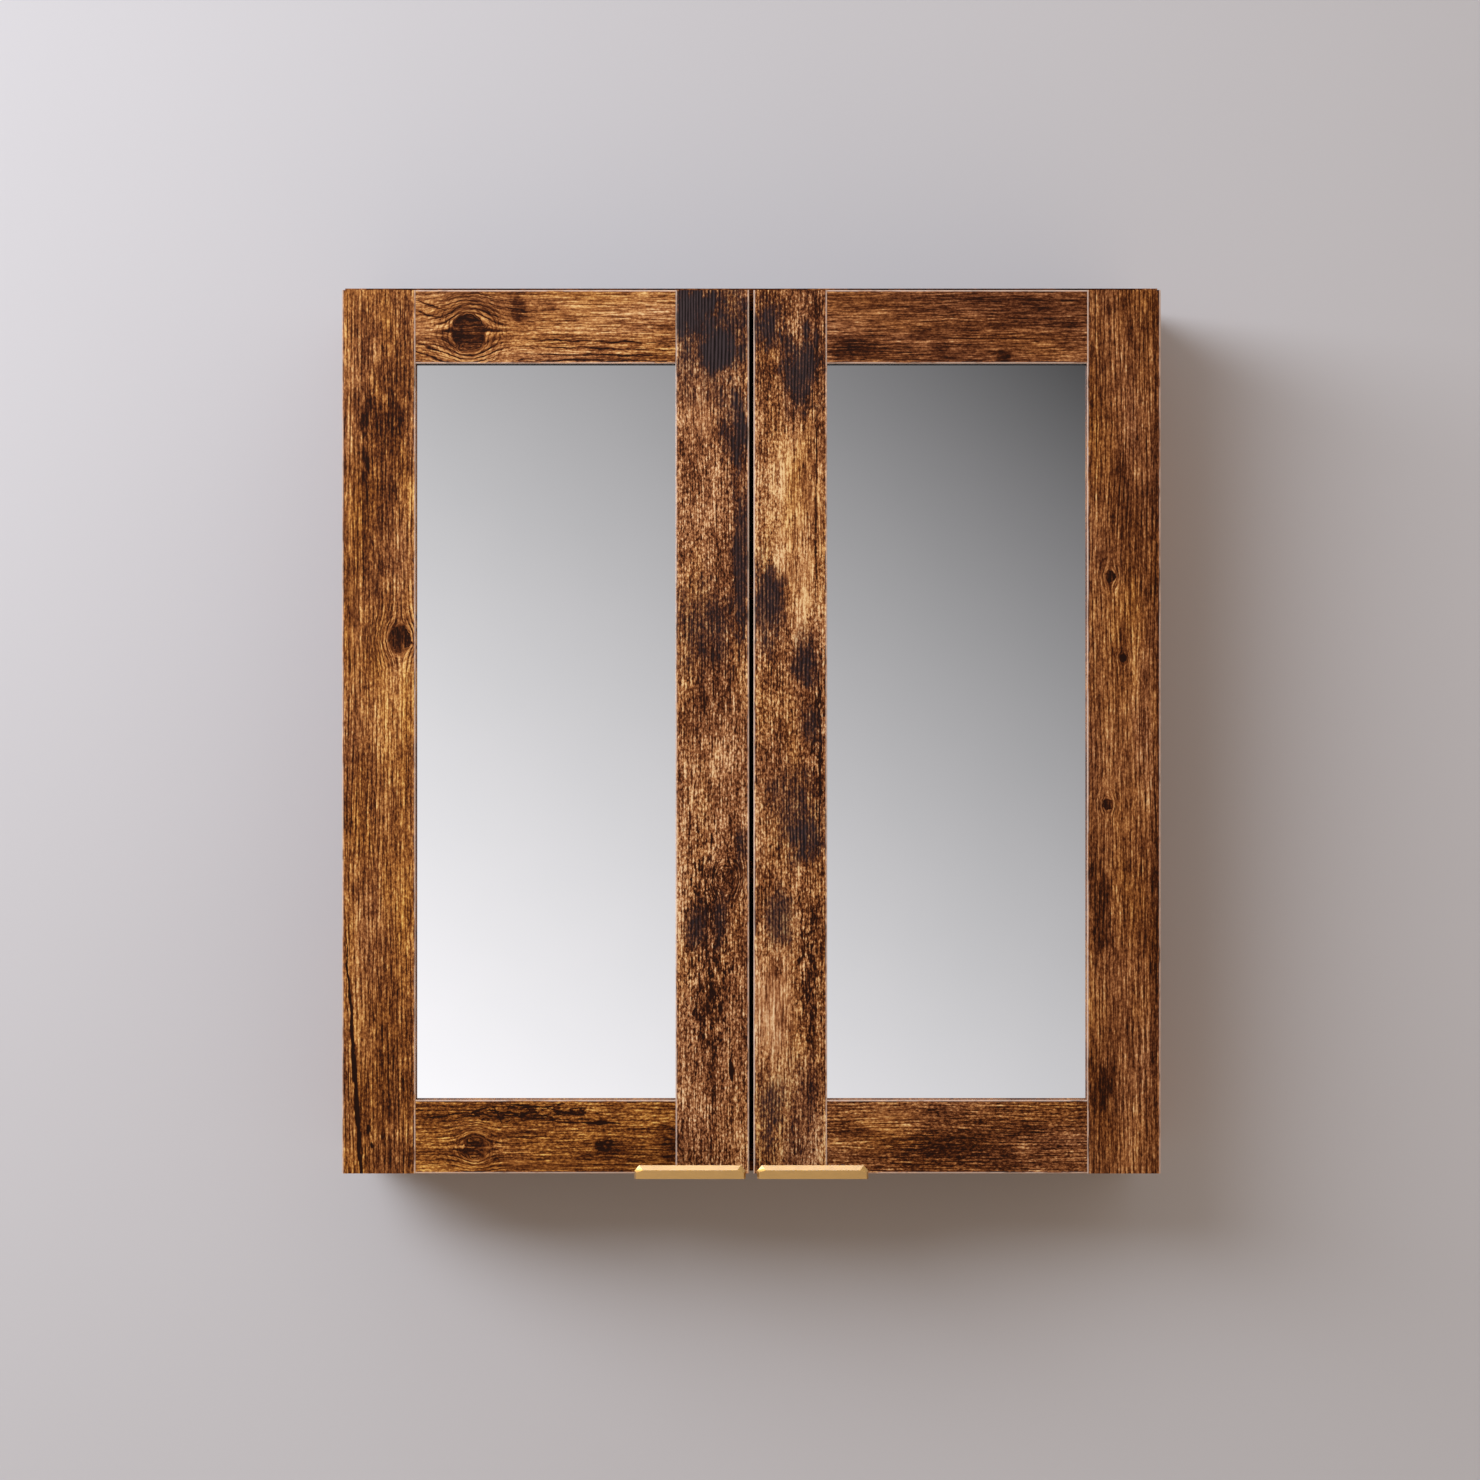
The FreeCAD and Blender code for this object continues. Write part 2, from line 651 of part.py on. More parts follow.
def pull():
    """Brass-coloured edge pull: a flange under the door and a turned-up lip with bevelled edges."""
    lip_back = DOOR_FRONT - PULL_PROJECTION
    bevel_back = lip_back - PULL_LIP_THICKNESS + PULL_BEVEL_DEPTH
    lip_front = lip_back - PULL_LIP_THICKNESS
    outer = pull_face(bevel_back, 0, 0, PULL_CORNER_LENGTH, PULL_CORNER_HEIGHT)
    inner = pull_face(
        lip_front,
        PULL_BEVEL_END,
        PULL_BEVEL_TOP,
        PULL_CORNER_LENGTH + PULL_BEVEL_END,
        PULL_CORNER_HEIGHT / 2,
    )
    lip = Part.Face(outer).extrude(Vector(0, lip_back - bevel_back, 0))
    bevelled = Part.makeLoft([outer, inner], True, True)
    flange = block(pull_span(), (lip_back, DOOR_BACK), (DOOR_BOTTOM - PULL_THICKNESS, DOOR_BOTTOM))
    solid = lip.fuse([bevelled, flange]).removeSplitter()
    return solid.cut([screw_hole(seat, Z_AXIS, pull_screw_length()) for seat in pull_screw_seats()])


def pull_screw_seats():
    """Head seats of the two screws on the underside of the pull's flange."""
    return [
        Vector(x, DOOR_MIDDLE, DOOR_BOTTOM - PULL_THICKNESS)
        for x in about(sum(pull_span()) / 2, PULL_SCREW_SPACING)
    ]


def pull_screw_length():
    """Pull screw through the flange and as far again as the door is thick."""
    return PULL_THICKNESS + DOOR_THICKNESS


# Bumpers and magnetic catches


def bumpers():
    """Clear stick-on domes that meet the top and bottom boards."""
    domes = []
    ball = (BUMPER_RADIUS**2 + BUMPER_HEIGHT**2) / (2 * BUMPER_HEIGHT)
    sink = ball - BUMPER_HEIGHT
    base_latitude = math.degrees(math.asin(sink / ball))
    for height in (BOARD_MIDDLE, -BOARD_MIDDLE):
        seat = Vector(DOOR_INNER - 2 * BUMPER_RADIUS, DOOR_BACK, height)
        domes.append(Part.makeSphere(ball, seat - Y_AXIS * sink, Y_AXIS, base_latitude, 90, 360))
    return Part.Compound(domes)


def catch_middle():
    """x of the left door's magnetic catch."""
    return DOOR_INNER - CATCH_FROM_EDGE


def catch_screw_seats():
    """Head seats of the catch screws, on the underside of its ears, for both doors."""
    depth = CARCASS_FRONT + CATCH_DEPTH / 2
    reach = CATCH_LENGTH - CATCH_EAR
    left = [Vector(x, depth, INNER_Z - CATCH_EAR_THICKNESS) for x in about(catch_middle(), reach)]
    return left + [Vector(-seat.x, seat.y, seat.z) for seat in left]


def catch_screw_length():
    """Catch screw through the ear and most of the top board."""
    return CATCH_EAR_THICKNESS + BOARD - SCREW_HEAD


def catch_box():
    """Moulded catch housing under the top board, with an ear on each end."""
    depth = (CARCASS_FRONT, CARCASS_FRONT + CATCH_DEPTH)
    x = about(catch_middle(), CATCH_LENGTH - 2 * CATCH_EAR)
    body = block(x, depth, (INNER_Z - CATCH_HEIGHT, INNER_Z))
    ears = block(about(catch_middle(), CATCH_LENGTH), depth, (INNER_Z - CATCH_EAR_THICKNESS, INNER_Z))
    holes = [screw_hole(seat, Z_AXIS, catch_screw_length()) for seat in catch_screw_seats()]
    return body.fuse(ears).removeSplitter().cut(holes + [catch_magnet(FIT)])


def catch_magnet(play):
    """Magnet with its steel poles, standing a little out of the housing; play makes its socket."""
    middle = INNER_Z - (CATCH_HEIGHT + CATCH_EAR_THICKNESS) / 2
    back = CARCASS_FRONT + CATCH_DEPTH - CATCH_EAR_THICKNESS
    return block(
        about(catch_middle(), CATCH_POLE_WIDTH - 2 * FIT + 2 * play),
        (CARCASS_FRONT - CATCH_POLE_REACH, back - FIT + play),
        about(middle, CATCH_POLE_HEIGHT - 2 * FIT + 2 * play),
    )


def strike_plate():
    """Steel plate on the door that the magnet holds."""
    middle = INNER_Z - (CATCH_HEIGHT + CATCH_EAR_THICKNESS) / 2
    corner = STRIKE_HEIGHT / 4
    x = about(catch_middle(), STRIKE_WIDTH)
    z = about(middle, STRIKE_HEIGHT)
    corners = [(Vector(x[i], DOOR_BACK, z[j]), corner) for i, j in ((0, 0), (1, 0), (1, 1), (0, 1))]
    plate = prism(corners, Y_AXIS * STRIKE_THICKNESS)
    return plate.cut([screw_hole(seat, -Y_AXIS, strike_screw_length()) for seat in strike_screw_seats()])


def strike_screw_seats():
    """Head seats of the strike plate's two screws."""
    middle = INNER_Z - (CATCH_HEIGHT + CATCH_EAR_THICKNESS) / 2
    spacing = STRIKE_WIDTH - STRIKE_HEIGHT
    return [Vector(x, DOOR_BACK + STRIKE_THICKNESS, middle) for x in about(catch_middle(), spacing)]


def strike_screw_length():
    """Strike screw through the plate and half of the frame's thickness."""
    return STRIKE_THICKNESS + DOOR_THICKNESS / 2


# Concealed hinges


def cup_centre(height):
    """Middle of a hinge cup on the back face of the left door."""
    return Vector(DOOR_OUTER + CUP_TAB + CUP_RADIUS, DOOR_BACK, height)


def cup_screw_seats(height):
    """Head seats of a cup's two screws, on its ears."""
    x = cup_centre(height).x + CUP_EAR_OFFSET
    return [Vector(x, DOOR_BACK + CUP_FLANGE, z) for z in about(height, CUP_SCREW_SPACING)]


def cup_screw_length():
    """Cup screw through the ear and most of the door's thickness."""
    return CUP_FLANGE + DOOR_THICKNESS - FRONT_LIP


def pivot_pin(height, play=0):
    """Hinge pin across the cup; play makes its hole."""
    foot = Vector(PIVOT_X, PIVOT_Y, height - PIVOT_LENGTH / 2 - play)
    return rod(foot, Z_AXIS, PIVOT_RADIUS + play, PIVOT_LENGTH + 2 * play)


def hinge_cup(height):
    """Die-cast cup with a flange, two screw ears and the slot that the arm swings in."""
    centre = cup_centre(height)
    body = rod(centre, -Y_AXIS, CUP_RADIUS, CUP_DEPTH)
    flange = rod(centre, Y_AXIS, CUP_FLANGE_RADIUS, CUP_FLANGE)
    ear_x = centre.x + CUP_EAR_OFFSET
    ear_z = about(height, CUP_SCREW_SPACING)
    ears = [rod(Vector(ear_x, DOOR_BACK, z), Y_AXIS, CUP_EAR_RADIUS, CUP_FLANGE) for z in ear_z]
    bridge = block(about(ear_x, 2 * CUP_EAR_RADIUS), (DOOR_BACK, DOOR_BACK + CUP_FLANGE), ear_z)
    cup = body.fuse([flange, bridge] + ears).removeSplitter()
    slot_width = ARM_NOSE_WIDTH + 2 * SLOT_CLEARANCE
    slot_reach = 2 * CUP_RADIUS - PIVOT_FROM_EDGE
    slot = plan_prism(
        [
            ((PIVOT_X - EYE_RADIUS - SLOT_CLEARANCE, DOOR_BACK + 2 * CUP_FLANGE), 0),
            ((PIVOT_X - EYE_RADIUS - SLOT_CLEARANCE, DOOR_BACK - CUP_DEPTH + CUP_FLOOR), EYE_RADIUS),
            ((PIVOT_X + slot_reach, DOOR_BACK - CUP_DEPTH + CUP_FLOOR), EYE_RADIUS),
            ((PIVOT_X + slot_reach, DOOR_BACK + 2 * CUP_FLANGE), 0),
        ],
        about(height, slot_width),
    )
    holes = [screw_hole(seat, -Y_AXIS, cup_screw_length()) for seat in cup_screw_seats(height)]
    return cup.cut([slot, pivot_pin(height, SCREW_PLAY)] + holes)


def arm_levels():
    """x of the neck's and of the arm's face on the side of the panel, and y of the strap in the cup."""
    neck = -INNER_X + ARM_NECK_FROM_SIDE
    web = -INNER_X + PLATE_BASE + PLATE_RIB
    strap = PIVOT_Y - EYE_RADIUS
    return neck, web, strap


def hinge_arm(height):
    """Goose-neck arm: an eye on the pin, a strap out of the cup and a channel over the mounting plate."""
    neck, web, strap = arm_levels()
    crank_front, crank_back = CARCASS_FRONT - ARM_CRANK_FRONT, CARCASS_FRONT - ARM_CRANK_BACK
    back = CARCASS_FRONT - ARM_BACK
    bend = ARM_BEND
    outside = ARM_BEND + ARM_STRAP
    nose = plan_prism(
        [
            ((PIVOT_X, strap), 0),
            ((neck + ARM_STRAP, strap), outside),
            ((neck + ARM_STRAP, crank_front), bend),
            ((web + ARM_STRAP, crank_back), outside),
            ((web + ARM_STRAP, back), 0),
            ((web, back), 0),
            ((web, crank_back), bend),
            ((neck, crank_front), outside),
            ((neck, strap + ARM_STRAP), bend),
            ((PIVOT_X, strap + ARM_STRAP), 0),
        ],
        about(height, ARM_NOSE_WIDTH),
    )
    eye = rod(Vector(PIVOT_X, PIVOT_Y, height - ARM_NOSE_WIDTH / 2), Z_AXIS, EYE_RADIUS, ARM_NOSE_WIDTH)
    web_front = crank_back + ARM_STRAP
    web_plate = block((web, web + ARM_STRAP), (web_front, back), about(height, ARM_WIDTH))
    flange_low = -INNER_X + PLATE_BASE + FIT
    flanges = [
        block((flange_low, web), (web_front, back), z)
        for z in (
            (height - ARM_WIDTH / 2, height - ARM_WIDTH / 2 + ARM_FLANGE_THICKNESS),
            (height + ARM_WIDTH / 2 - ARM_FLANGE_THICKNESS, height + ARM_WIDTH / 2),
        )
    ]
    arm = nose.fuse([eye, web_plate] + flanges).removeSplitter()
    bore = rod(
        Vector(PIVOT_X, PIVOT_Y, height - ARM_NOSE_WIDTH),
        Z_AXIS,
        PIVOT_RADIUS + PIVOT_RUNNING,
        2 * ARM_NOSE_WIDTH,
    )
    return arm.cut([bore] + arm_screw_holes(height))


def arm_screw_places(height):
    """Seats of the two machine screws on the arm's outer face."""
    web = arm_levels()[1]
    return [Vector(web + ARM_STRAP, CARCASS_FRONT - v, height) for v in ARM_SCREW_PLACES]


def arm_screw_holes(height):
    """Holes for the machine screws through the arm and into the plate's rib."""
    reach = ARM_STRAP + PLATE_RIB
    return [rod(seat, -X_AXIS, ARM_SCREW_RADIUS + SCREW_PLAY, reach) for seat in arm_screw_places(height)]


def arm_screws(height):
    """Fixing and adjusting screws that hold the arm to its plate."""
    screws = []
    for seat in arm_screw_places(height):
        profile = [
            (0, ARM_SCREW_HEAD_RADIUS),
            (ARM_SCREW_HEAD_HEIGHT, ARM_SCREW_HEAD_RADIUS),
            (ARM_SCREW_HEAD_HEIGHT, ARM_SCREW_RADIUS),
            (ARM_SCREW_HEAD_HEIGHT + ARM_STRAP + PLATE_RIB - FIT, ARM_SCREW_RADIUS),
        ]
        top = seat + X_AXIS * ARM_SCREW_HEAD_HEIGHT
        recess = cross_recess(top, -X_AXIS, RECESS_LENGTH, RECESS_WIDTH, RECESS_DEPTH)
        screws.append(turned(top, -X_AXIS, profile).cut(recess))
    return screws


def mounting_plate(height):
    """Cruciform plate on the side panel: a rib under the arm and two wings for wood screws."""
    front, back = CARCASS_FRONT - PLATE_FRONT, CARCASS_FRONT - PLATE_BACK
    rib_width = ARM_WIDTH - 2 * ARM_FLANGE_THICKNESS - 2 * FIT
    base_x = (-INNER_X, -INNER_X + PLATE_BASE)
    rib_x = (-INNER_X, -INNER_X + PLATE_BASE + PLATE_RIB)
    base = block(base_x, (front, back), about(height, ARM_WIDTH))
    rib = block(rib_x, (front, back), about(height, rib_width))
    wing_y = CARCASS_FRONT - PLATE_WING_CENTRE
    wing_span = PLATE_SCREW_SPACING / 2 + PLATE_WING_RADIUS
    corners = [
        (Vector(-INNER_X, wing_y - PLATE_WING_LENGTH / 2, height - wing_span), PLATE_WING_RADIUS),
        (Vector(-INNER_X, wing_y + PLATE_WING_LENGTH / 2, height - wing_span), PLATE_WING_RADIUS),
        (Vector(-INNER_X, wing_y + PLATE_WING_LENGTH / 2, height + wing_span), PLATE_WING_RADIUS),
        (Vector(-INNER_X, wing_y - PLATE_WING_LENGTH / 2, height + wing_span), PLATE_WING_RADIUS),
    ]
    wings = prism(corners, X_AXIS * PLATE_BASE)
    holes = [screw_hole(seat, -X_AXIS, plate_screw_length()) for seat in plate_screw_seats()]
    return base.fuse([rib, wings]).removeSplitter().cut(holes + arm_screw_holes(height))


def plate_screw_seats():
    """Head seats of the left side's mounting-plate screws."""
    return [
        Vector(-INNER_X + PLATE_BASE, CARCASS_FRONT - PLATE_WING_CENTRE, z)
        for height in HINGE_HEIGHTS
        for z in about(height, PLATE_SCREW_SPACING)
    ]


def plate_screw_length():
    """Plate screw through the wing and most of the side board."""
    return PLATE_BASE + BOARD - SCREW_HEAD


# Screws of one door, and of the carcass


def door_screws_at():
    """(seat, direction, length) of every wood screw in the left door."""
    found = [(seat, Z_AXIS, pull_screw_length()) for seat in pull_screw_seats()]
    found += [(seat, -Y_AXIS, strike_screw_length()) for seat in strike_screw_seats()]
    for edge, inwards in clip_places():
        found.append((clip_screw_seat(edge, inwards), -Y_AXIS, clip_screw_length()))
    for height in HINGE_HEIGHTS:
        found += [(seat, -Y_AXIS, cup_screw_length()) for seat in cup_screw_seats(height)]
    return found


def door_screw_holes():
    """Pilot holes for every wood screw in the left door."""
    return [screw_hole(*place) for place in door_screws_at()]


def door_screws():
    """Wood screws of the left door."""
    return Part.Compound([wood_screw(*place) for place in door_screws_at()])


def carcass_screws():
    """Wood screws of the hinge plates and magnetic catches."""
    plates = [wood_screw(seat, -X_AXIS, plate_screw_length()) for seat in plate_screw_seats()]
    catches = [wood_screw(seat, Z_AXIS, catch_screw_length()) for seat in catch_screw_seats()]
    return Part.Compound(plates + [mirrored(screw) for screw in plates] + catches)


def hinge_arm_screws():
    """Machine screws of all four hinge arms."""
    left = [screw for height in HINGE_HEIGHTS for screw in arm_screws(height)]
    return Part.Compound(left + [mirrored(screw) for screw in left])


# Assembly

bottom_tenon, top_tenon = tenon_heights()
upper_hinge, lower_hinge = HINGE_HEIGHTS

carcass = {
    "top_panel": end_board(1),
    "bottom_panel": end_board(-1),
    "back_panel": back_board(),
    "upper_hanging_rail": hanging_rail(1),
    "lower_hanging_rail": hanging_rail(-1),
    "shelf_pins": shelf_pins(),
    "carcass_dowels": carcass_dowels(),
    "cam_bolts": cam_bolts(),
    "cam_locks": cam_locks(),
    "carcass_screws": carcass_screws(),
    "hinge_arm_screws": hinge_arm_screws(),
}

left_side = {
    "side_panel": side_panel(),
    "upper_hinge_plate": mounting_plate(upper_hinge),
    "lower_hinge_plate": mounting_plate(lower_hinge),
    "upper_hinge_arm": hinge_arm(upper_hinge),
    "lower_hinge_arm": hinge_arm(lower_hinge),
    "catch_housing": catch_box(),
    "catch_magnet": catch_magnet(0),
    "door_hinge_stile": hinge_stile(),
    "door_meeting_stile": meeting_stile(),
    "door_top_rail": frame_rail(DOOR_TOP, SIGHT_Z[1], top_tenon),
    "door_bottom_rail": frame_rail(DOOR_BOTTOM, SIGHT_Z[0], bottom_tenon),
    "mirror": mirror(),
    "mirror_backing": mirror_backing(),
    "mirror_clips": mirror_clips(),
    "edge_pull": pull(),
    "upper_hinge_cup": hinge_cup(upper_hinge),
    "lower_hinge_cup": hinge_cup(lower_hinge),
    "hinge_pins": Part.Compound([pivot_pin(height) for height in HINGE_HEIGHTS]),
    "door_screws": door_screws(),
    "door_bumpers": bumpers(),
    "strike_plate": strike_plate(),
}

nodes = dict(carcass)
for name, underside in zip(SHELVES, shelf_heights()):
    nodes[name] = shelf(underside)
for name, shape in left_side.items():
    nodes["left_" + name] = shape
    nodes["right_" + name] = mirrored(shape)

os.makedirs("parts", exist_ok=True)
for name, shape in nodes.items():
    shape.exportStep(os.path.join("parts", name + ".step"))
print(len(nodes), "nodes,", sum(len(shape.Solids) for shape in nodes.values()), "solids")
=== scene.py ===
import math

import bmesh
import bpy
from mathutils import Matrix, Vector


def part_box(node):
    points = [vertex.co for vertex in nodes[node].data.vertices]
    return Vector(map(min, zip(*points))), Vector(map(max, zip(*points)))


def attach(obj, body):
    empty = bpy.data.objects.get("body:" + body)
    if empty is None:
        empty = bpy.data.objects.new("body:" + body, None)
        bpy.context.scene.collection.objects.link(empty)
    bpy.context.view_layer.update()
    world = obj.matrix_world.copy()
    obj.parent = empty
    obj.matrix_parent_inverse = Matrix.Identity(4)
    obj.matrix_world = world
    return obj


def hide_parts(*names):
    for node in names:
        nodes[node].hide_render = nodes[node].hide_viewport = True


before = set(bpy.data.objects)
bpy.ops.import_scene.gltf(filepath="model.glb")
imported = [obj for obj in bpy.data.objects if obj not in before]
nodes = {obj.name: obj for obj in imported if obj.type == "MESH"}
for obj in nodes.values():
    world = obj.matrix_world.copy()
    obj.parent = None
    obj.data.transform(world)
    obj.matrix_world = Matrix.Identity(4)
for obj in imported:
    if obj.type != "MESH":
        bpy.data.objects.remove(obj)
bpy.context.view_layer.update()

scene = bpy.context.scene
scene.view_settings.view_transform = "Standard"

# Carcass boards
# The box of the cabinet: two sides, top, bottom, two shelves and two hanging rails, 15 mm boards.
# They are chipboard faced with a printed paper laminate that copies scorched old pine,
# cut to size, edge-banded in the same print and drawn together by cams and dowels.


def linear(hex_colour):
    """Linear colour of an sRGB hex value."""
    channels = [int(hex_colour[i : i + 2], 16) / 255 for i in (1, 3, 5)]
    return [c / 12.92 if c <= 0.04045 else ((c + 0.055) / 1.055) ** 2.4 for c in channels] + [1.0]


def add_node(tree, kind, inputs=None, **settings):
    """Adds a node, sets its properties, and links or fills its input sockets by name or number."""
    node = tree.nodes.new(kind)
    for key, value in settings.items():
        setattr(node, key, value)
    for key, value in (inputs or {}).items():
        if isinstance(value, bpy.types.NodeSocket):
            tree.links.new(value, node.inputs[key])
        else:
            node.inputs[key].default_value = value
    return node


def new_material(name):
    """An empty node material with its shader and the place on the object in millimetres."""
    material = bpy.data.materials.new(name)
    material.use_nodes = True
    tree = material.node_tree
    tree.nodes.clear()
    shader = add_node(tree, "ShaderNodeBsdfPrincipled")
    add_node(tree, "ShaderNodeOutputMaterial", {"Surface": shader.outputs["BSDF"]})
    place = add_node(tree, "ShaderNodeTexCoord").outputs["Object"]
    millimetres = add_node(tree, "ShaderNodeVectorMath", {0: place, "Scale": 1000.0}, operation="SCALE")
    return material, tree, shader, millimetres.outputs["Vector"]


def dress(material, *names):
    """Gives a material to CAD nodes."""
    for name in names:
        mesh = nodes[name].data
        mesh.materials.clear()
        mesh.materials.append(material)


def laminate_print():
    """Node group of the scorched-pine print, from a place in mm: x across the grain, y along it."""
    tree = bpy.data.node_groups.new("Scorched pine print", "ShaderNodeTree")
    for name, kind in (
        ("Board", "NodeSocketVector"),
        ("Tone", "NodeSocketFloat"),
        ("Redness", "NodeSocketFloat"),
        ("Line gap", "NodeSocketFloat"),
        ("Line depth", "NodeSocketFloat"),
        ("Blotches", "NodeSocketFloat"),
        ("Flecks", "NodeSocketFloat"),
        ("Scorch and shade", "NodeSocketFloat"),
    ):
        tree.interface.new_socket(name, in_out="INPUT", socket_type=kind)
    for name, kind in (
        ("Color", "NodeSocketColor"),
        ("Roughness", "NodeSocketFloat"),
        ("Height", "NodeSocketFloat"),
    ):
        tree.interface.new_socket(name, in_out="OUTPUT", socket_type=kind)
    given = add_node(tree, "NodeGroupInput").outputs

    # Grain features, each a noise stretched along the board: width and length in mm, then its detail
    features = {
        "broad tone": (42, 190, 2.0, 0.5),
        "blotch": (17, 46, 4.0, 0.6),
        "streak": (2.8, 110, 3.0, 0.6),
        "fibre": (1.0, 16, 2.0, 0.6),
        "fleck": (1.2, 2.5, 2.0, 0.75),
        "sway": (34, 210, 1.0, 0.5),
        "hue": (26, 110, 2.0, 0.5),
    }
    noise = {}
    for feature, (width, length, detail, roughness) in features.items():
        size = Vector((1 / width, 1 / length, 1 / width))
        stretched = add_node(
            tree, "ShaderNodeVectorMath", {0: given["Board"], 1: size}, operation="MULTIPLY"
        )
        field = add_node(
            tree,
            "ShaderNodeTexNoise",
            {"Vector": stretched.outputs[0], "Scale": 1.0, "Detail": detail, "Roughness": roughness},
        )
        noise[feature] = field.outputs["Fac"]

    # Dark latewood lines across the board, which sway with the growth rings and waver with the fibres
    ring_sway = 14.0  # mm
    fibre_waver = 1.3  # mm
    across = add_node(tree, "ShaderNodeSeparateXYZ", {0: given["Board"]}).outputs["X"]
    sway = add_node(
        tree, "ShaderNodeMath", {0: noise["sway"], 1: ring_sway, 2: across}, operation="MULTIPLY_ADD"
    )
    waver = add_node(
        tree,
        "ShaderNodeMath",
        {0: noise["fibre"], 1: fibre_waver, 2: sway.outputs[0]},
        operation="MULTIPLY_ADD",
    )
    ring = add_node(tree, "ShaderNodeMath", {0: waver.outputs[0], 1: given["Line gap"]}, operation="DIVIDE")
    turn = add_node(tree, "ShaderNodeMath", {0: ring.outputs[0], 1: math.tau}, operation="MULTIPLY")
    wave = add_node(tree, "ShaderNodeMath", {0: turn.outputs[0]}, operation="SINE")
    line = add_node(
        tree, "ShaderNodeMapRange", {"Value": wave.outputs[0], "From Min": 0.1, "From Max": 1.0}
    )
    strength = add_node(
        tree,
        "ShaderNodeMapRange",
        {"Value": noise["streak"], "From Min": 0.35, "From Max": 0.65, "To Min": 0.25, "To Max": 1.0},
    )
    line = add_node(
        tree, "ShaderNodeMath", {0: line.outputs[0], 1: strength.outputs[0]}, operation="MULTIPLY"
    )
    lines = add_node(
        tree, "ShaderNodeMath", {0: line.outputs[0], 1: given["Line depth"]}, operation="MULTIPLY"
    )

    # Lightness of the print: each noise pulls it up or down about the board's tone
    lightness = add_node(
        tree, "ShaderNodeMath", {0: given["Tone"], 1: lines.outputs[0]}, operation="SUBTRACT"
    )
    pulls = {
        "broad tone": 0.5,
        "streak": 0.9,
        "fibre": 1.4,
        "blotch": given["Blotches"],
        "fleck": given["Flecks"],
    }
    for feature, pull in pulls.items():
        centred = add_node(tree, "ShaderNodeMath", {0: noise[feature], 1: 0.5}, operation="SUBTRACT")
        lightness = add_node(
            tree,
            "ShaderNodeMath",
            {0: centred.outputs[0], 1: pull, 2: lightness.outputs[0]},
            operation="MULTIPLY_ADD",
        )

    # Scorched places turn to charcoal with grey ribs along the grain, and past a scorch of 2 to black
    # The scorch input also carries painted shade: under the top rails it paints the lower edge black
    charcoal_rib = linear("#43383A")
    charcoal = linear("#130B0B")
    rib_scorch = 0.62  # the ribs take this share of the scorch
    scorch_depth = -0.5  # change of lightness where the wood is burnt right through
    rib = add_node(tree, "ShaderNodeMapRange", {"Value": wave.outputs[0], "From Min": -1.0})
    black = add_node(
        tree, "ShaderNodeMapRange", {"Value": given["Scorch and shade"], "From Min": 2.0, "From Max": 2.5}
    )
    rib = add_node(tree, "ShaderNodeMath", {0: rib.outputs[0], 1: black.outputs[0]}, operation="MAXIMUM")
    char = add_node(
        tree,
        "ShaderNodeMix",
        {0: rib.outputs[0], 6: charcoal_rib, 7: charcoal},
        data_type="RGBA",
    )
    ribs = add_node(tree, "ShaderNodeMapRange", {"Value": rib.outputs[0], "To Min": rib_scorch})
    burnt_and_shaded = add_node(tree, "ShaderNodeMath", {0: given["Scorch and shade"], 1: ribs.outputs[0]}, operation="MULTIPLY")
    burnt_and_shaded = burnt_and_shaded.outputs[0]
    lightness = add_node(
        tree, "ShaderNodeMath", {0: burnt_and_shaded, 1: scorch_depth, 2: lightness.outputs[0]}, operation="MULTIPLY_ADD"
    )

    # Shades of the print from latewood to sapwood, leaning to yellow in some places and to red in others
    shades = {
        0.0: "#1E0B04",
        0.2: "#431E09",
        0.42: "#724327",
        0.6: "#A06A44",
        0.78: "#CB996C",
        1.0: "#EDD0A8",
    }
    yellow_cast = linear("#FFF2AC")
    red_cast = linear("#FFFBF4")
    ramp = add_node(tree, "ShaderNodeValToRGB", {"Fac": lightness.outputs[0]})
    stops = ramp.color_ramp.elements
    while len(stops) < len(shades):
        stops.new(0.5)
    for stop, (at, shade) in zip(stops, shades.items()):
        stop.position = at
        stop.color = linear(shade)
    cast = add_node(
        tree, "ShaderNodeMath", {0: noise["hue"], 1: 2.0, 2: given["Redness"]}, operation="MULTIPLY_ADD"
    )
    warmth = add_node(
        tree, "ShaderNodeMath", {0: cast.outputs[0], 1: 0.5}, operation="SUBTRACT", use_clamp=True
    )
    tint = add_node(
        tree,
        "ShaderNodeMix",
        {0: warmth.outputs[0], 6: yellow_cast, 7: red_cast},
        data_type="RGBA",
    )
    tinted = add_node(
        tree,
        "ShaderNodeMix",
        {0: 1.0, 6: ramp.outputs["Color"], 7: tint.outputs[2]},
        data_type="RGBA",
        blend_type="MULTIPLY",
    )
    charred = add_node(
        tree,
        "ShaderNodeMix",
        {0: burnt_and_shaded, 6: tinted.outputs[2], 7: char.outputs[2]},
        data_type="RGBA",
    )
    roughness = add_node(
        tree, "ShaderNodeMapRange", {"Value": lightness.outputs[0], "To Min": 0.62, "To Max": 0.44}
    )
    add_node(
        tree,
        "NodeGroupOutput",
        {"Color": charred.outputs[2], "Roughness": roughness.outputs[0], "Height": lightness.outputs[0]},
    )
    return tree


# Printed paper under melamine resin, pressed with a shallow grain: satin, with hardly any gloss,
# so that the eye reads the wood by its colours; the pale lines at its edges are painted highlights
scorched_pine = laminate_print()
EMBOSS = 0.00012  # depth of the pressed grain, metres
EMBOSS_STRENGTH = 0.6
LAMINATE_SHEEN = 0.07
EDGE_HIGHLIGHT_COLOUR = linear("#DCC4B4")  # pale colour painted on arrises and beside edges as a highlight
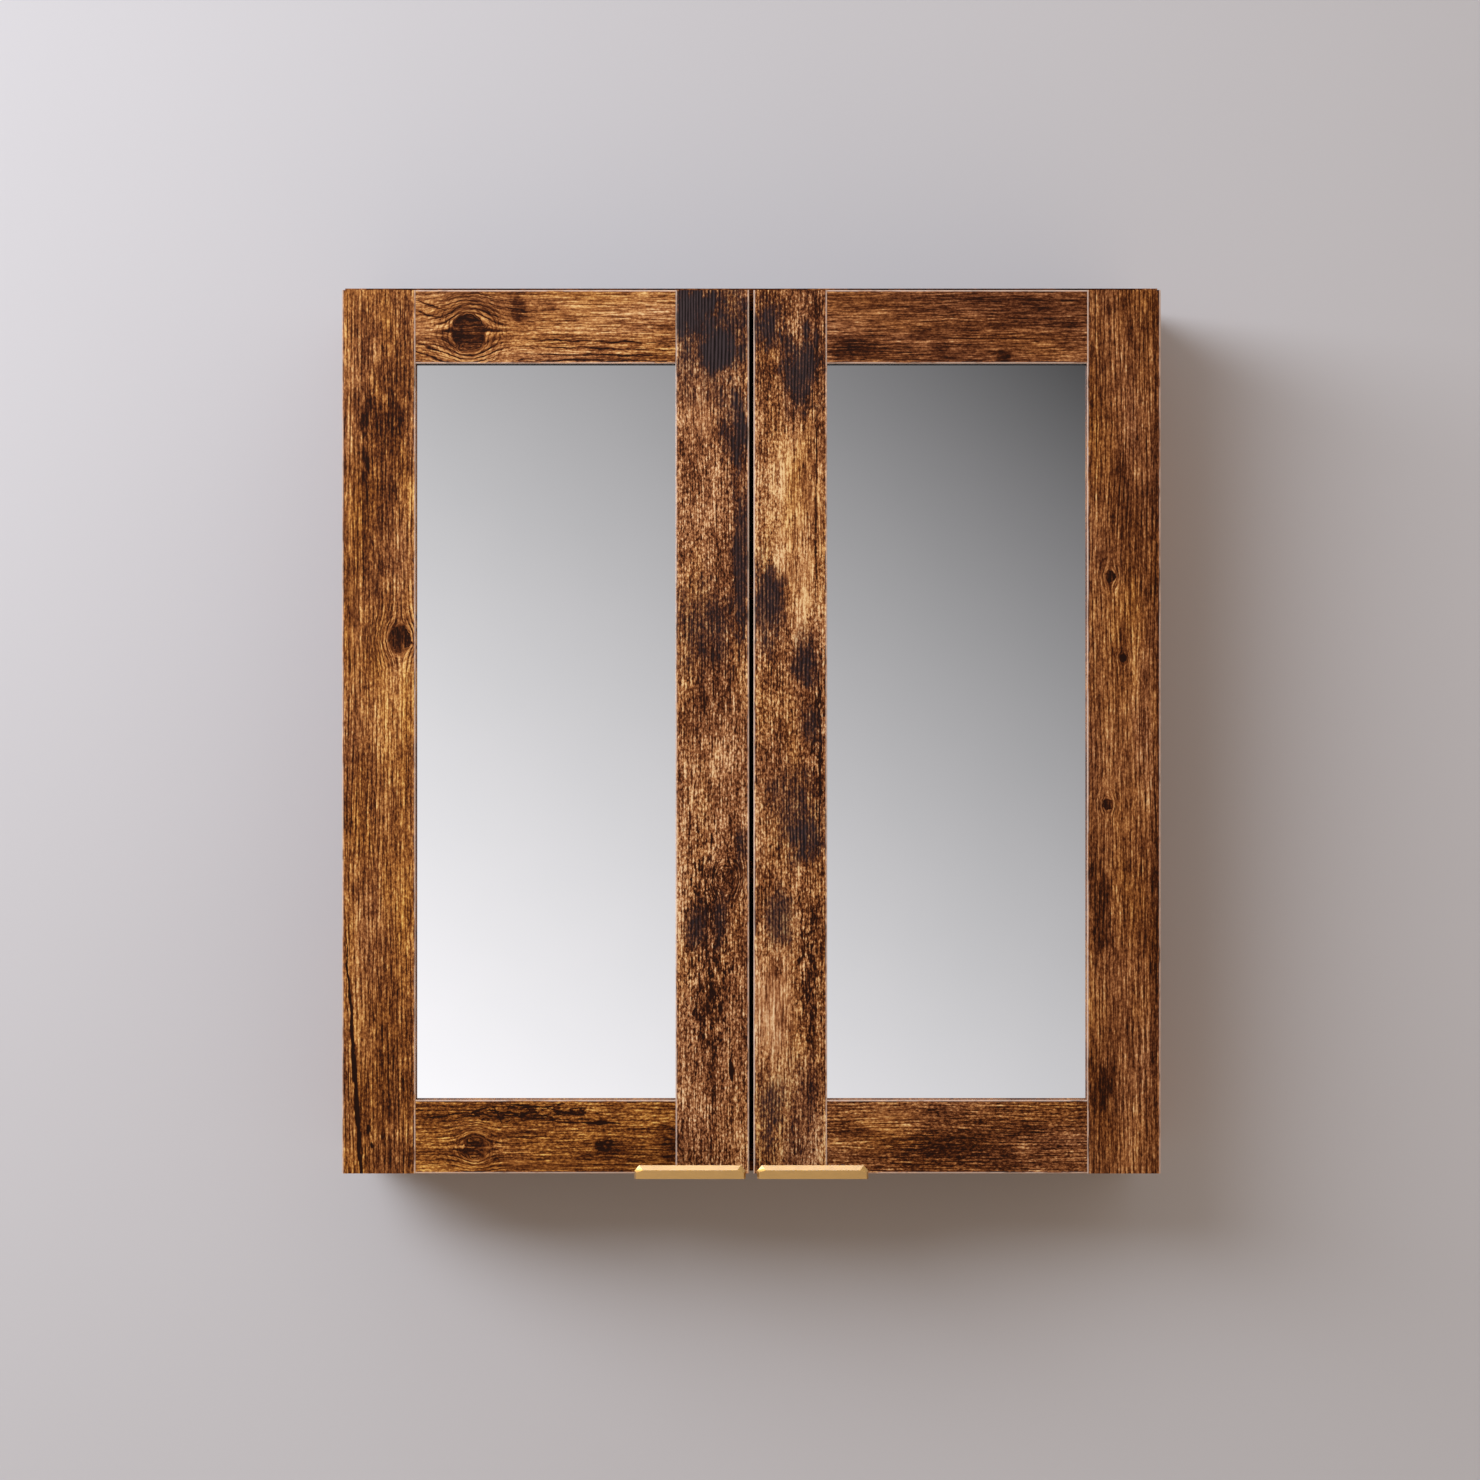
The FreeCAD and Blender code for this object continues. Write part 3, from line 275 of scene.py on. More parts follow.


def print_board(
    board,
    turn,
    offset,
    tone,
    redness=0.0,
    line_gap=3.4,
    line_depth=0.25,
    blotches=0.7,
    flecks=1.1,
    scorch_and_shade=0.0,
    strip_highlight=0.0,
):
    """Finishes a laminate board's material; board is (material, tree, shader, place in mm).
    turn and offset lay the print on the board, and the last argument sets a painted highlight on its front
    and back."""
    material, tree, shader, place = board
    turned = add_node(
        tree,
        "ShaderNodeMapping",
        {"Vector": place, "Location": offset, "Rotation": [math.radians(a) for a in turn]},
    )
    pattern = add_node(
        tree,
        "ShaderNodeGroup",
        {
            "Board": turned.outputs[0],
            "Tone": tone,
            "Redness": redness,
            "Line gap": line_gap,
            "Line depth": line_depth,
            "Blotches": blotches,
            "Flecks": flecks,
            "Scorch and shade": scorch_and_shade,
        },
        node_tree=scorched_pine,
    )
    bump = add_node(
        tree,
        "ShaderNodeBump",
        {"Height": pattern.outputs["Height"], "Strength": EMBOSS_STRENGTH, "Distance": EMBOSS},
    )

    # Painted highlight: a pale colour on the arrises, which slant, and on the front and back where a strip is
    # given
    facing = add_node(tree, "ShaderNodeTexCoord").outputs["Normal"]
    facing = add_node(tree, "ShaderNodeVectorMath", {0: facing}, operation="ABSOLUTE")
    facing = add_node(tree, "ShaderNodeSeparateXYZ", {0: facing.outputs[0]}).outputs
    square = add_node(tree, "ShaderNodeMath", {0: facing["X"], 1: facing["Y"]}, operation="MAXIMUM")
    square = add_node(tree, "ShaderNodeMath", {0: square.outputs[0], 1: facing["Z"]}, operation="MAXIMUM")
    painted_highlight = add_node(
        tree,
        "ShaderNodeMapRange",
        {"Value": square.outputs[0], "From Min": 0.97, "From Max": 0.85, "To Max": 0.9},
    )
    on_face = add_node(
        tree, "ShaderNodeMapRange", {"Value": facing["Y"], "From Min": 0.9, "From Max": 0.97, "To Max": 0.75}
    )
    painted_highlight = add_node(
        tree,
        "ShaderNodeMath",
        {0: on_face.outputs[0], 1: strip_highlight, 2: painted_highlight.outputs[0]},
        operation="MULTIPLY_ADD",
        use_clamp=True,
    )
    colour = add_node(
        tree,
        "ShaderNodeMix",
        {0: painted_highlight.outputs[0], 6: pattern.outputs["Color"], 7: EDGE_HIGHLIGHT_COLOUR},
        data_type="RGBA",
    )
    tree.links.new(colour.outputs[2], shader.inputs["Base Color"])
    tree.links.new(pattern.outputs["Roughness"], shader.inputs["Roughness"])
    tree.links.new(bump.outputs["Normal"], shader.inputs["Normal"])
    shader.inputs["Specular IOR Level"].default_value = LAMINATE_SHEEN
    return material


# Turns that lay the print's grain along the board, in degrees about x, y and z
GRAIN_UP = (-90, 0, 0)
GRAIN_ACROSS = (-90, 0, 90)
GRAIN_UP_SIDE = (-90, 90, 0)
GRAIN_ACROSS_FLAT = (0, 0, 90)

# Each board is cut from another place of the print, these lengths apart in mm
SIDE_SHIFT = 400
FLAT_SHIFT = 700
RAIL_SHIFT = 300
# The top board is the darkest, partly for its darker print and partly as painted shade in the gap between the
# doors
DARKEST_TONE = 0.26  # of the top board, and each flat board after it is a step paler
TONE_STEP = 0.07
for i, side in enumerate(("left", "right")):
    panel = new_material(f"scorched pine laminate, {side} side")
    dress(print_board(panel, GRAIN_UP_SIDE, (SIDE_SHIFT * i, 0, 0), tone=0.5), f"{side}_side_panel")
for i, name in enumerate(("top_panel", "bottom_panel", "lower_shelf", "upper_shelf")):
    board = new_material(f"scorched pine laminate, {name}")
    tone = DARKEST_TONE + TONE_STEP * i
    dress(print_board(board, GRAIN_ACROSS_FLAT, (0, FLAT_SHIFT * i, 0), tone), name)
rails = new_material("scorched pine laminate, hanging rails")
rails = print_board(rails, GRAIN_ACROSS, (0, 0, RAIL_SHIFT), tone=0.48)
dress(rails, "upper_hanging_rail", "lower_hanging_rail")

# Back board and mirror backings
# Thin hardboard: brown wood fibre pressed hot into a sheet with one smooth side.
# The back slides in grooves in the carcass, and a backing lies behind each mirror.

# Felted fibre: matt and brown, with a fine fleck and faint clouds
FLECK = 2.2  # mm, coarser than the real fibres so that it shows
CLOUD = 35  # mm
CLOUDINESS = 0.2
hardboard, tree, shader, place = new_material("pressed hardboard")
fibres = add_node(
    tree, "ShaderNodeTexNoise", {"Vector": place, "Scale": 1 / FLECK, "Detail": 5.0, "Roughness": 0.75}
)
mottle = add_node(tree, "ShaderNodeTexNoise", {"Vector": place, "Scale": 1 / CLOUD, "Detail": 2.0})
mixed = add_node(
    tree,
    "ShaderNodeMath",
    {0: mottle.outputs["Fac"], 1: CLOUDINESS, 2: fibres.outputs["Fac"]},
    operation="MULTIPLY_ADD",
)
shade = add_node(
    tree, "ShaderNodeMapRange", {"Value": mixed.outputs[0], "From Min": 0.42, "From Max": 0.78}
)
colour = add_node(
    tree,
    "ShaderNodeMix",
    {0: shade.outputs[0], 6: linear("#5A3E27"), 7: linear("#987450")},
    data_type="RGBA",
)
bump = add_node(
    tree, "ShaderNodeBump", {"Height": fibres.outputs["Fac"], "Strength": 0.5, "Distance": 0.0001}
)
tree.links.new(colour.outputs[2], shader.inputs["Base Color"])
tree.links.new(bump.outputs["Normal"], shader.inputs["Normal"])
shader.inputs["Roughness"].default_value = 0.68
dress(hardboard, "back_panel", "left_mirror_backing", "right_mirror_backing")

# Corner fittings
# Die-cast zinc cams pull on plated steel bolts, and beech dowels keep the boards in line.
# The cams show as grey discs on the outside of the top and bottom boards.

HANDLING = 9  # mm, size of the dull places that handling leaves on metal
POLISHED = 0.8  # share of the roughness where the metal is smoothest
HANDLED = 1.25  # and where it is dullest
LOW_GRAIN = 0.82  # brightness in the hollows of the grain


def worked_metal(name, colour, roughness, grain_mm, brush=(1, 1, 1)):
    """A metal with a fine worked surface: grain of a given size, drawn out where it was brushed.
    The grain is drawn coarser than the real one, which is too fine to show."""
    material, tree, shader, place = new_material(name)
    drawn = add_node(tree, "ShaderNodeVectorMath", {0: place, 1: Vector(brush)}, operation="MULTIPLY")
    grain = add_node(
        tree,
        "ShaderNodeTexNoise",
        {"Vector": drawn.outputs[0], "Scale": 1 / grain_mm, "Detail": 3.0, "Roughness": 0.6},
    )
    handling = add_node(tree, "ShaderNodeTexNoise", {"Vector": place, "Scale": 1 / HANDLING, "Detail": 2.0})
    both = add_node(
        tree, "ShaderNodeMath", {0: grain.outputs["Fac"], 1: handling.outputs["Fac"]}, operation="ADD"
    )
    spread = add_node(
        tree,
        "ShaderNodeMapRange",
        {
            "Value": both.outputs[0],
            "From Min": 0.6,
            "From Max": 1.4,
            "To Min": roughness * POLISHED,
            "To Max": roughness * HANDLED,
        },
    )
    dull = [c * LOW_GRAIN for c in linear(colour)[:3]] + [1.0]
    shade = add_node(
        tree,
        "ShaderNodeMix",
        {0: grain.outputs["Fac"], 6: dull, 7: linear(colour)},
        data_type="RGBA",
    )
    bump = add_node(
        tree, "ShaderNodeBump", {"Height": grain.outputs["Fac"], "Strength": 0.25, "Distance": 0.00002}
    )
    tree.links.new(shade.outputs[2], shader.inputs["Base Color"])
    tree.links.new(spread.outputs[0], shader.inputs["Roughness"])
    tree.links.new(bump.outputs["Normal"], shader.inputs["Normal"])
    shader.inputs["Metallic"].default_value = 1.0
    return material


# The skin of the casting is dull and grey, with soft broad highlights
die_cast = worked_metal("die-cast zinc", "#A9A9A6", 0.5, grain_mm=0.7)
dress(die_cast, "cam_locks")
# The plating is pale and cool, and brighter than the casting
plated_steel = worked_metal("zinc-plated steel", "#D8DADC", 0.34, grain_mm=0.8)
dress(plated_steel, "cam_bolts")

# Left bare from the lathe: pale and matt, with fine straight pores along the dowel
PORE = 0.7  # mm, coarser than real so that it shows
ALONG_THE_DOWEL = Vector((0.06, 1, 1))
beech, tree, shader, place = new_material("turned beech")
fibre = add_node(tree, "ShaderNodeVectorMath", {0: place, 1: ALONG_THE_DOWEL}, operation="MULTIPLY")
grain = add_node(tree, "ShaderNodeTexNoise", {"Vector": fibre.outputs[0], "Scale": 1 / PORE, "Detail": 3.0})
colour = add_node(
    tree,
    "ShaderNodeMix",
    {0: grain.outputs["Fac"], 6: linear("#B48A5C"), 7: linear("#DDB98B")},
    data_type="RGBA",
)
tree.links.new(colour.outputs[2], shader.inputs["Base Color"])
shader.inputs["Roughness"].default_value = 0.6
dress(beech, "carcass_dowels")

# Shelf pins and hinges
# The pins and machine screws are zinc-plated steel. The hinge arms, cups and plates are pressed or
# cast metal with bright nickel plating, fixed to the sides and sunk in the backs of the doors.

# Bright and a little warm, with soft clear highlights
nickel = worked_metal("bright nickel plating", "#E2DED8", 0.28, grain_mm=1.2)
dress(plated_steel, "shelf_pins", "hinge_arm_screws")
for side in ("left", "right"):
    dress(plated_steel, f"{side}_hinge_pins")
    for level in ("upper", "lower"):
        dress(nickel, *[f"{side}_{level}_hinge_{piece}" for piece in ("plate", "arm", "cup")])

# Wood screws
# Countersunk cross-head screws of zinc-plated steel hold the hinges, clips, catches and pulls.
# They are cold-headed from wire with a rolled thread, and driven flush with what they hold.

MILLIMETRE = (0.001, 0.001, 0.001)  # the screws are drawn in mm


def wood_screws():
    """Geometry Nodes tree that drives one size of screw at each seat, along the seat's drive vector."""
    tree = bpy.data.node_groups.new("Wood screws", "GeometryNodeTree")
    tree.interface.new_socket("Seats", in_out="INPUT", socket_type="NodeSocketGeometry")
    for name in (
        "Length",
        "Head radius",
        "Core radius",
        "Thread radius",
        "Thread pitch",
        "Point length",
        "Recess length",
        "Recess width",
        "Recess depth",
    ):
        tree.interface.new_socket(name, in_out="INPUT", socket_type="NodeSocketFloat")
    tree.interface.new_socket("Finish", in_out="INPUT", socket_type="NodeSocketMaterial")
    tree.interface.new_socket("Screws", in_out="OUTPUT", socket_type="NodeSocketGeometry")
    given = add_node(tree, "NodeGroupInput").outputs

    # Blank: four stations along the axis, each with its own radius, swept by a circle
    tip_radius = 0.05  # mm
    sink = add_node(
        tree, "ShaderNodeMath", {0: given["Head radius"], 1: given["Core radius"]}, operation="SUBTRACT"
    ).outputs[0]
    shoulder = add_node(
        tree, "ShaderNodeMath", {0: given["Length"], 1: given["Point length"]}, operation="SUBTRACT"
    ).outputs[0]
    station = add_node(tree, "GeometryNodeInputIndex").outputs[0]
    stations = {
        "height": (0.0, sink, shoulder, given["Length"]),
        "radius": (given["Head radius"], given["Core radius"], given["Core radius"], tip_radius),
    }
    chosen = {}
    for name, values in stations.items():
        choice = add_node(tree, "GeometryNodeIndexSwitch", {0: station}, data_type="FLOAT")
        while len(choice.index_switch_items) < len(values):
            choice.index_switch_items.new()
        for slot, value in enumerate(values, start=1):
            if isinstance(value, bpy.types.NodeSocket):
                tree.links.new(value, choice.inputs[slot])
            else:
                choice.inputs[slot].default_value = value
        chosen[name] = choice.outputs[0]
    spot = add_node(tree, "ShaderNodeCombineXYZ", {"Z": chosen["height"]})
    axis = add_node(tree, "GeometryNodeMeshLine", {"Count": len(stations["height"])})
    axis = add_node(
        tree, "GeometryNodeSetPosition", {"Geometry": axis.outputs[0], "Position": spot.outputs[0]}
    )
    axis = add_node(tree, "GeometryNodeMeshToCurve", {"Mesh": axis.outputs[0]})
    circle = add_node(tree, "GeometryNodeCurvePrimitiveCircle", {"Resolution": 24, "Radius": 1.0})
    blank = add_node(
        tree,
        "GeometryNodeCurveToMesh",
        {
            "Curve": axis.outputs[0],
            "Profile Curve": circle.outputs[0],
            "Scale": chosen["radius"],
            "Fill Caps": True,
        },
    )

    # Thread: a ridge of four sides wound round the core from the head to the point
    rise = add_node(tree, "ShaderNodeMath", {0: shoulder, 1: sink}, operation="SUBTRACT")
    turns = add_node(
        tree, "ShaderNodeMath", {0: rise.outputs[0], 1: given["Thread pitch"]}, operation="DIVIDE"
    )
    helix = add_node(
        tree,
        "GeometryNodeCurveSpiral",
        {
            "Resolution": 16,
            "Rotations": turns.outputs[0],
            "Start Radius": given["Core radius"],
            "End Radius": given["Core radius"],
            "Height": rise.outputs[0],
        },
    )
    lift = add_node(tree, "ShaderNodeCombineXYZ", {"Z": sink})
    helix = add_node(
        tree, "GeometryNodeTransform", {"Geometry": helix.outputs[0], "Translation": lift.outputs[0]}
    )
    helix = add_node(tree, "GeometryNodeSetCurveNormal", {"Curve": helix.outputs[0]}, mode="Z_UP")
    ridge = add_node(
        tree, "ShaderNodeMath", {0: given["Thread radius"], 1: given["Core radius"]}, operation="SUBTRACT"
    )
    section = add_node(
        tree, "GeometryNodeCurvePrimitiveCircle", {"Resolution": 4, "Radius": ridge.outputs[0]}
    )
    thread = add_node(
        tree,
        "GeometryNodeCurveToMesh",
        {"Curve": helix.outputs[0], "Profile Curve": section.outputs[0], "Fill Caps": True},
    )

    # Cross recess in the face of the head
    deep = add_node(tree, "ShaderNodeMath", {0: given["Recess depth"], 1: 2.0}, operation="MULTIPLY")
    cut = add_node(
        tree, "GeometryNodeMeshBoolean", {"Mesh 1": blank.outputs[0]}, operation="DIFFERENCE", solver="EXACT"
    )
    for width, length in (("Recess length", "Recess width"), ("Recess width", "Recess length")):
        size = add_node(
            tree, "ShaderNodeCombineXYZ", {"X": given[width], "Y": given[length], "Z": deep.outputs[0]}
        )
        bar = add_node(tree, "GeometryNodeMeshCube", {"Size": size.outputs[0]})
        tree.links.new(bar.outputs[0], cut.inputs["Mesh 2"])

    whole = add_node(tree, "GeometryNodeJoinGeometry", {"Geometry": cut.outputs[0]})
    tree.links.new(thread.outputs[0], whole.inputs["Geometry"])
    drive = add_node(tree, "GeometryNodeInputNamedAttribute", {"Name": "drive"}, data_type="FLOAT_VECTOR")
    turn = add_node(tree, "FunctionNodeAlignRotationToVector", {"Vector": drive.outputs[0]}, axis="Z")
    driven = add_node(
        tree,
        "GeometryNodeInstanceOnPoints",
        {
            "Points": given["Seats"],
            "Instance": whole.outputs[0],
            "Rotation": turn.outputs[0],
            "Scale": MILLIMETRE,
        },
    )
    solid = add_node(tree, "GeometryNodeRealizeInstances", {"Geometry": driven.outputs[0]})
    plated = add_node(
        tree, "GeometryNodeSetMaterial", {"Geometry": solid.outputs[0], "Material": given["Finish"]}
    )
    add_node(tree, "NodeGroupOutput", {"Screws": plated.outputs[0]})
    return tree


def screw_seats(name):
    """Seats of the screws in a CAD node, as {length: [(head centre, driving direction), ...]}."""
    merged = bmesh.new()
    merged.from_mesh(nodes[name].data)
    bmesh.ops.remove_doubles(merged, verts=merged.verts, dist=1e-6)
    waiting = set(merged.verts)
    seats = {}
    for first in merged.verts:
        if first not in waiting:
            continue
        waiting.remove(first)
        found = [first]
        for vert in found:
            near = {edge.other_vert(vert) for edge in vert.link_edges} & waiting
            waiting -= near
            found.extend(near)
        low = Vector([min(vert.co[i] for vert in found) for i in range(3)])
        high = Vector([max(vert.co[i] for vert in found) for i in range(3)])
        size = high - low
        along = max(range(3), key=lambda i: size[i])
        middle = (low + high) / 2
        rim = max(found, key=lambda vert: (vert.co - middle).length - abs(vert.co[along] - middle[along]))
        drive = Vector((0, 0, 0))
        drive[along] = 1.0 if rim.co[along] < middle[along] else -1.0
        head = middle - drive * size[along] / 2
        seats.setdefault(round(size[along] * 1000, 2), []).append((head, drive))
    merged.free()
    return seats


# Sizes in mm, those of a common wood screw of 3 mm
SCREW_SIZES = {
    "Head radius": 3.0,
    "Core radius": 1.05,
    "Thread radius": 1.5,
    "Thread pitch": 1.4,
    "Point length": 2.5,
    "Recess length": 3.4,
    "Recess width": 0.8,
    "Recess depth": 0.7,
}
screw_tree = wood_screws()
screw_inputs = {item.name: item.identifier for item in screw_tree.interface.items_tree}
for body in ("carcass", "left_door", "right_door"):
    joined = bmesh.new()
    for length, seats in screw_seats(f"{body}_screws").items():
        points = bpy.data.meshes.new(f"{body} screw seats")
        points.from_pydata([head for head, drive in seats], [], [])
        drives = points.attributes.new("drive", "FLOAT_VECTOR", "POINT")
        for value, (head, drive) in zip(drives.data, seats):
            value.vector = drive
        bench = bpy.data.objects.new("screw bench", points)
        scene.collection.objects.link(bench)
        modifier = bench.modifiers.new("screws", "NODES")
        modifier.node_group = screw_tree
        for name, value in {**SCREW_SIZES, "Length": length, "Finish": plated_steel}.items():
            modifier[screw_inputs[name]] = value
        made = bpy.data.meshes.new_from_object(bench.evaluated_get(bpy.context.evaluated_depsgraph_get()))
        joined.from_mesh(made)
        bench.modifiers.remove(modifier)
        bpy.data.objects.remove(bench)
        bpy.data.meshes.remove(made)
    mesh = bpy.data.meshes.new(f"{body}_wood_screws")
    joined.to_mesh(mesh)
    joined.free()
    mesh.materials.append(plated_steel)
    screws = bpy.data.objects.new(f"{body}_wood_screws", mesh)
    scene.collection.objects.link(screws)
    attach(screws, body)
    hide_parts(f"{body}_screws")

# Door frames
# Two stiles and two rails on each door, 50 mm wide and 15 mm thick, in the same laminate.
# The print differs from board to board: pine knots, scorched patches and drying cracks,
# all placed here in mm on the face of the doors, x to the right and z up.


def drying_crack():
    """Node group of one crack between two places in mm, widest in its middle."""
    tree = bpy.data.node_groups.new("Drying crack", "ShaderNodeTree")
    for name, kind in (
        ("Place", "NodeSocketVector"),
        ("Start", "NodeSocketVector"),
        ("End", "NodeSocketVector"),
        ("Width", "NodeSocketFloat"),
    ):
        tree.interface.new_socket(name, in_out="INPUT", socket_type=kind)
    tree.interface.new_socket("Dark", in_out="OUTPUT", socket_type="NodeSocketFloat")
    given = add_node(tree, "NodeGroupInput").outputs
    run = add_node(tree, "ShaderNodeVectorMath", {0: given["End"], 1: given["Start"]}, operation="SUBTRACT")
    away = add_node(
        tree, "ShaderNodeVectorMath", {0: given["Place"], 1: given["Start"]}, operation="SUBTRACT"
    )
    run, away = run.outputs[0], away.outputs[0]
    reach = add_node(tree, "ShaderNodeVectorMath", {0: away, 1: run}, operation="DOT_PRODUCT")
    length = add_node(tree, "ShaderNodeVectorMath", {0: run, 1: run}, operation="DOT_PRODUCT")
    share = add_node(
        tree,
        "ShaderNodeMath",
        {0: reach.outputs["Value"], 1: length.outputs["Value"]},
        operation="DIVIDE",
        use_clamp=True,
    )
    foot = add_node(
        tree, "ShaderNodeVectorMath", {0: run, "Scale": share.outputs[0]}, operation="SCALE"
    )
    gap = add_node(tree, "ShaderNodeVectorMath", {0: away, 1: foot.outputs[0]}, operation="DISTANCE")
    arch = add_node(tree, "ShaderNodeMath", {0: share.outputs[0], 1: math.pi}, operation="MULTIPLY")
    arch = add_node(tree, "ShaderNodeMath", {0: arch.outputs[0]}, operation="SINE")
    end_width = 0.15  # mm
    width = add_node(
        tree,
        "ShaderNodeMath",
        {0: arch.outputs[0], 1: given["Width"], 2: end_width},
        operation="MULTIPLY_ADD",
    )
    dark = add_node(
        tree,
        "ShaderNodeMapRange",
        {"Value": gap.outputs["Value"], "From Min": width.outputs[0], "From Max": 0.0},
        interpolation_type="SMOOTHSTEP",
    )
    add_node(tree, "NodeGroupOutput", {"Dark": dark.outputs[0]})
    return tree


def pine_knot():
    """Node group of one knot: it pushes the grain aside, darkens its core and draws rings round it."""
    tree = bpy.data.node_groups.new("Pine knot", "ShaderNodeTree")
    for name, kind in (
        ("Place", "NodeSocketVector"),
        ("Centre", "NodeSocketVector"),
        ("Radius", "NodeSocketFloat"),
        ("Squeeze", "NodeSocketVector"),
        ("Swirl", "NodeSocketFloat"),
        ("Darkness", "NodeSocketFloat"),
    ):
        tree.interface.new_socket(name, in_out="INPUT", socket_type=kind)
    tree.interface.new_socket("Place", in_out="OUTPUT", socket_type="NodeSocketVector")
    tree.interface.new_socket("Dark", in_out="OUTPUT", socket_type="NodeSocketFloat")
    tree.interface.new_socket("Swirl", in_out="OUTPUT", socket_type="NodeSocketFloat")
    given = add_node(tree, "NodeGroupInput").outputs

    # Distance from the centre in knot radii, which is the unit of all reaches below, with a lumpy outline
    lump_scale = 1.3  # lumps in a knot radius
    lumpiness = 0.7
    away = add_node(
        tree, "ShaderNodeVectorMath", {0: given["Place"], 1: given["Centre"]}, operation="SUBTRACT"
    )
    away = add_node(
        tree, "ShaderNodeVectorMath", {0: away.outputs[0], 1: given["Radius"]}, operation="DIVIDE"
    )
    flat = add_node(
        tree, "ShaderNodeVectorMath", {0: away.outputs[0], 1: given["Squeeze"]}, operation="MULTIPLY"
    )
    lumpy = add_node(
        tree, "ShaderNodeVectorMath", {0: given["Place"], 1: given["Radius"]}, operation="DIVIDE"
    )
    lumps = add_node(
        tree, "ShaderNodeTexNoise", {"Vector": lumpy.outputs[0], "Scale": lump_scale, "Detail": 2.0}
    )
    lump = add_node(tree, "ShaderNodeMath", {0: lumps.outputs["Fac"], 1: 0.5}, operation="SUBTRACT")
    reach = add_node(tree, "ShaderNodeVectorMath", {0: flat.outputs[0]}, operation="LENGTH")
    reach = add_node(
        tree,
        "ShaderNodeMath",
        {0: lump.outputs[0], 1: lumpiness, 2: reach.outputs["Value"]},
        operation="MULTIPLY_ADD",
    )
    reach = reach.outputs[0]

    # Dark core, a little paler in its heart
    core = add_node(
        tree,
        "ShaderNodeMapRange",
        {"Value": reach, "From Min": 1.12, "From Max": 0.86},
        interpolation_type="SMOOTHSTEP",
    )
    heart = add_node(
        tree,
        "ShaderNodeMapRange",
        {"Value": reach, "From Min": 0.05, "From Max": 0.45, "To Min": 0.85, "To Max": 0.95},
    )
    core = add_node(tree, "ShaderNodeMath", {0: core.outputs[0], 1: heart.outputs[0]}, operation="MULTIPLY")
    core = add_node(tree, "ShaderNodeMath", {0: core.outputs[0], 1: given["Darkness"]}, operation="MULTIPLY")

    # Rings round the core, broken by the lumps
    ring_phase = 27.0  # radians in a knot radius
    ring = add_node(tree, "ShaderNodeMath", {0: reach, 1: ring_phase}, operation="MULTIPLY")
    ring = add_node(tree, "ShaderNodeMath", {0: ring.outputs[0]}, operation="SINE")
    ring = add_node(tree, "ShaderNodeMapRange", {"Value": ring.outputs[0], "From Min": 0.2, "From Max": 0.9})
    zone = add_node(
        tree,
        "ShaderNodeMapRange",
        {"Value": reach, "From Min": 2.7, "From Max": 1.3},
        interpolation_type="SMOOTHSTEP",
    )
    outside = add_node(
        tree,
        "ShaderNodeMapRange",
        {"Value": reach, "From Min": 0.8, "From Max": 1.1},
        interpolation_type="SMOOTHSTEP",
    )
    zone = add_node(tree, "ShaderNodeMath", {0: zone.outputs[0], 1: outside.outputs[0]}, operation="MULTIPLY")
    swirl = add_node(tree, "ShaderNodeMath", {0: zone.outputs[0], 1: given["Swirl"]}, operation="MULTIPLY")
    rings = add_node(tree, "ShaderNodeMath", {0: ring.outputs[0], 1: swirl.outputs[0]}, operation="MULTIPLY")
    rings = add_node(
        tree, "ShaderNodeMath", {0: rings.outputs[0], 1: lumps.outputs["Fac"]}, operation="MULTIPLY"
    )
    dark = add_node(tree, "ShaderNodeMath", {0: rings.outputs[0], 1: core.outputs[0]}, operation="MAXIMUM")

    # The grain parts round the core, and runs straight inside it
    push = add_node(
        tree,
        "ShaderNodeMapRange",
        {"Value": reach, "From Min": 3.2, "From Max": 0.0},
        interpolation_type="SMOOTHSTEP",
    )
    push = add_node(tree, "ShaderNodeMath", {0: push.outputs[0], 1: outside.outputs[0]}, operation="MULTIPLY")
    push = add_node(tree, "ShaderNodeMath", {0: push.outputs[0], 1: given["Radius"]}, operation="MULTIPLY")
    outwards = add_node(tree, "ShaderNodeVectorMath", {0: flat.outputs[0]}, operation="NORMALIZE")
    shift = add_node(
        tree, "ShaderNodeVectorMath", {0: outwards.outputs[0], "Scale": push.outputs[0]}, operation="SCALE"
    )
    moved = add_node(
        tree, "ShaderNodeVectorMath", {0: given["Place"], 1: shift.outputs[0]}, operation="SUBTRACT"
    )
    add_node(
        tree,
        "NodeGroupOutput",
        {"Place": moved.outputs[0], "Dark": dark.outputs[0], "Swirl": swirl.outputs[0]},
    )
    return tree


crack_group = drying_crack()
knot_group = pine_knot()
DOOR_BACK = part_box("left_door_top_rail")[1].y * 1000  # mm
MARKS_FADE = (1.0, 2.5)  # mm from the back, between which the marks of the front fade out
ARRIS = 0.6  # mm
HIGHLIGHT_STRIP = 1.3  # mm from the edge, the strip of painted highlight
FRAY = 2.2  # how far the rims of patches are frayed, in shares of the patch
FINE_FRAY = 0.7  # share of the fine flecks in that
CRACK_WAVER = 5.0  # mm
HAIR_CRACK_WIDTH = 1.3  # mm, past which a crack stands open
HAIR_CRACK = 1.1  # darkness of a closed crack
OPEN_CRACK = 3.0  # darkness of an open one
FLECK_DARKNESS = 0.9
BROWN_PATCH = 1.05  # a patch without charcoal is printed this much darker
KNOT_LINES = 0.5  # how much deeper the latewood lines are beside a knot
KNOT_SPECKLE = 1.6  # how strongly the flecks show in a knot's core
KNOT_EVEN = 0.15  # part of the core's darkness that has no flecks
UNDERSIDE_SHADE = 3.0  # scorch value that paints the lower edge black, as painted shade
MARK_DEPTH = -0.5  # change of tone for a mark of darkness 1
PALE_LIFT = 0.4  # change of tone for a pale patch of strength 1
PALE_SMOOTHING = -1.4  # change of the flecks there, as a share of them


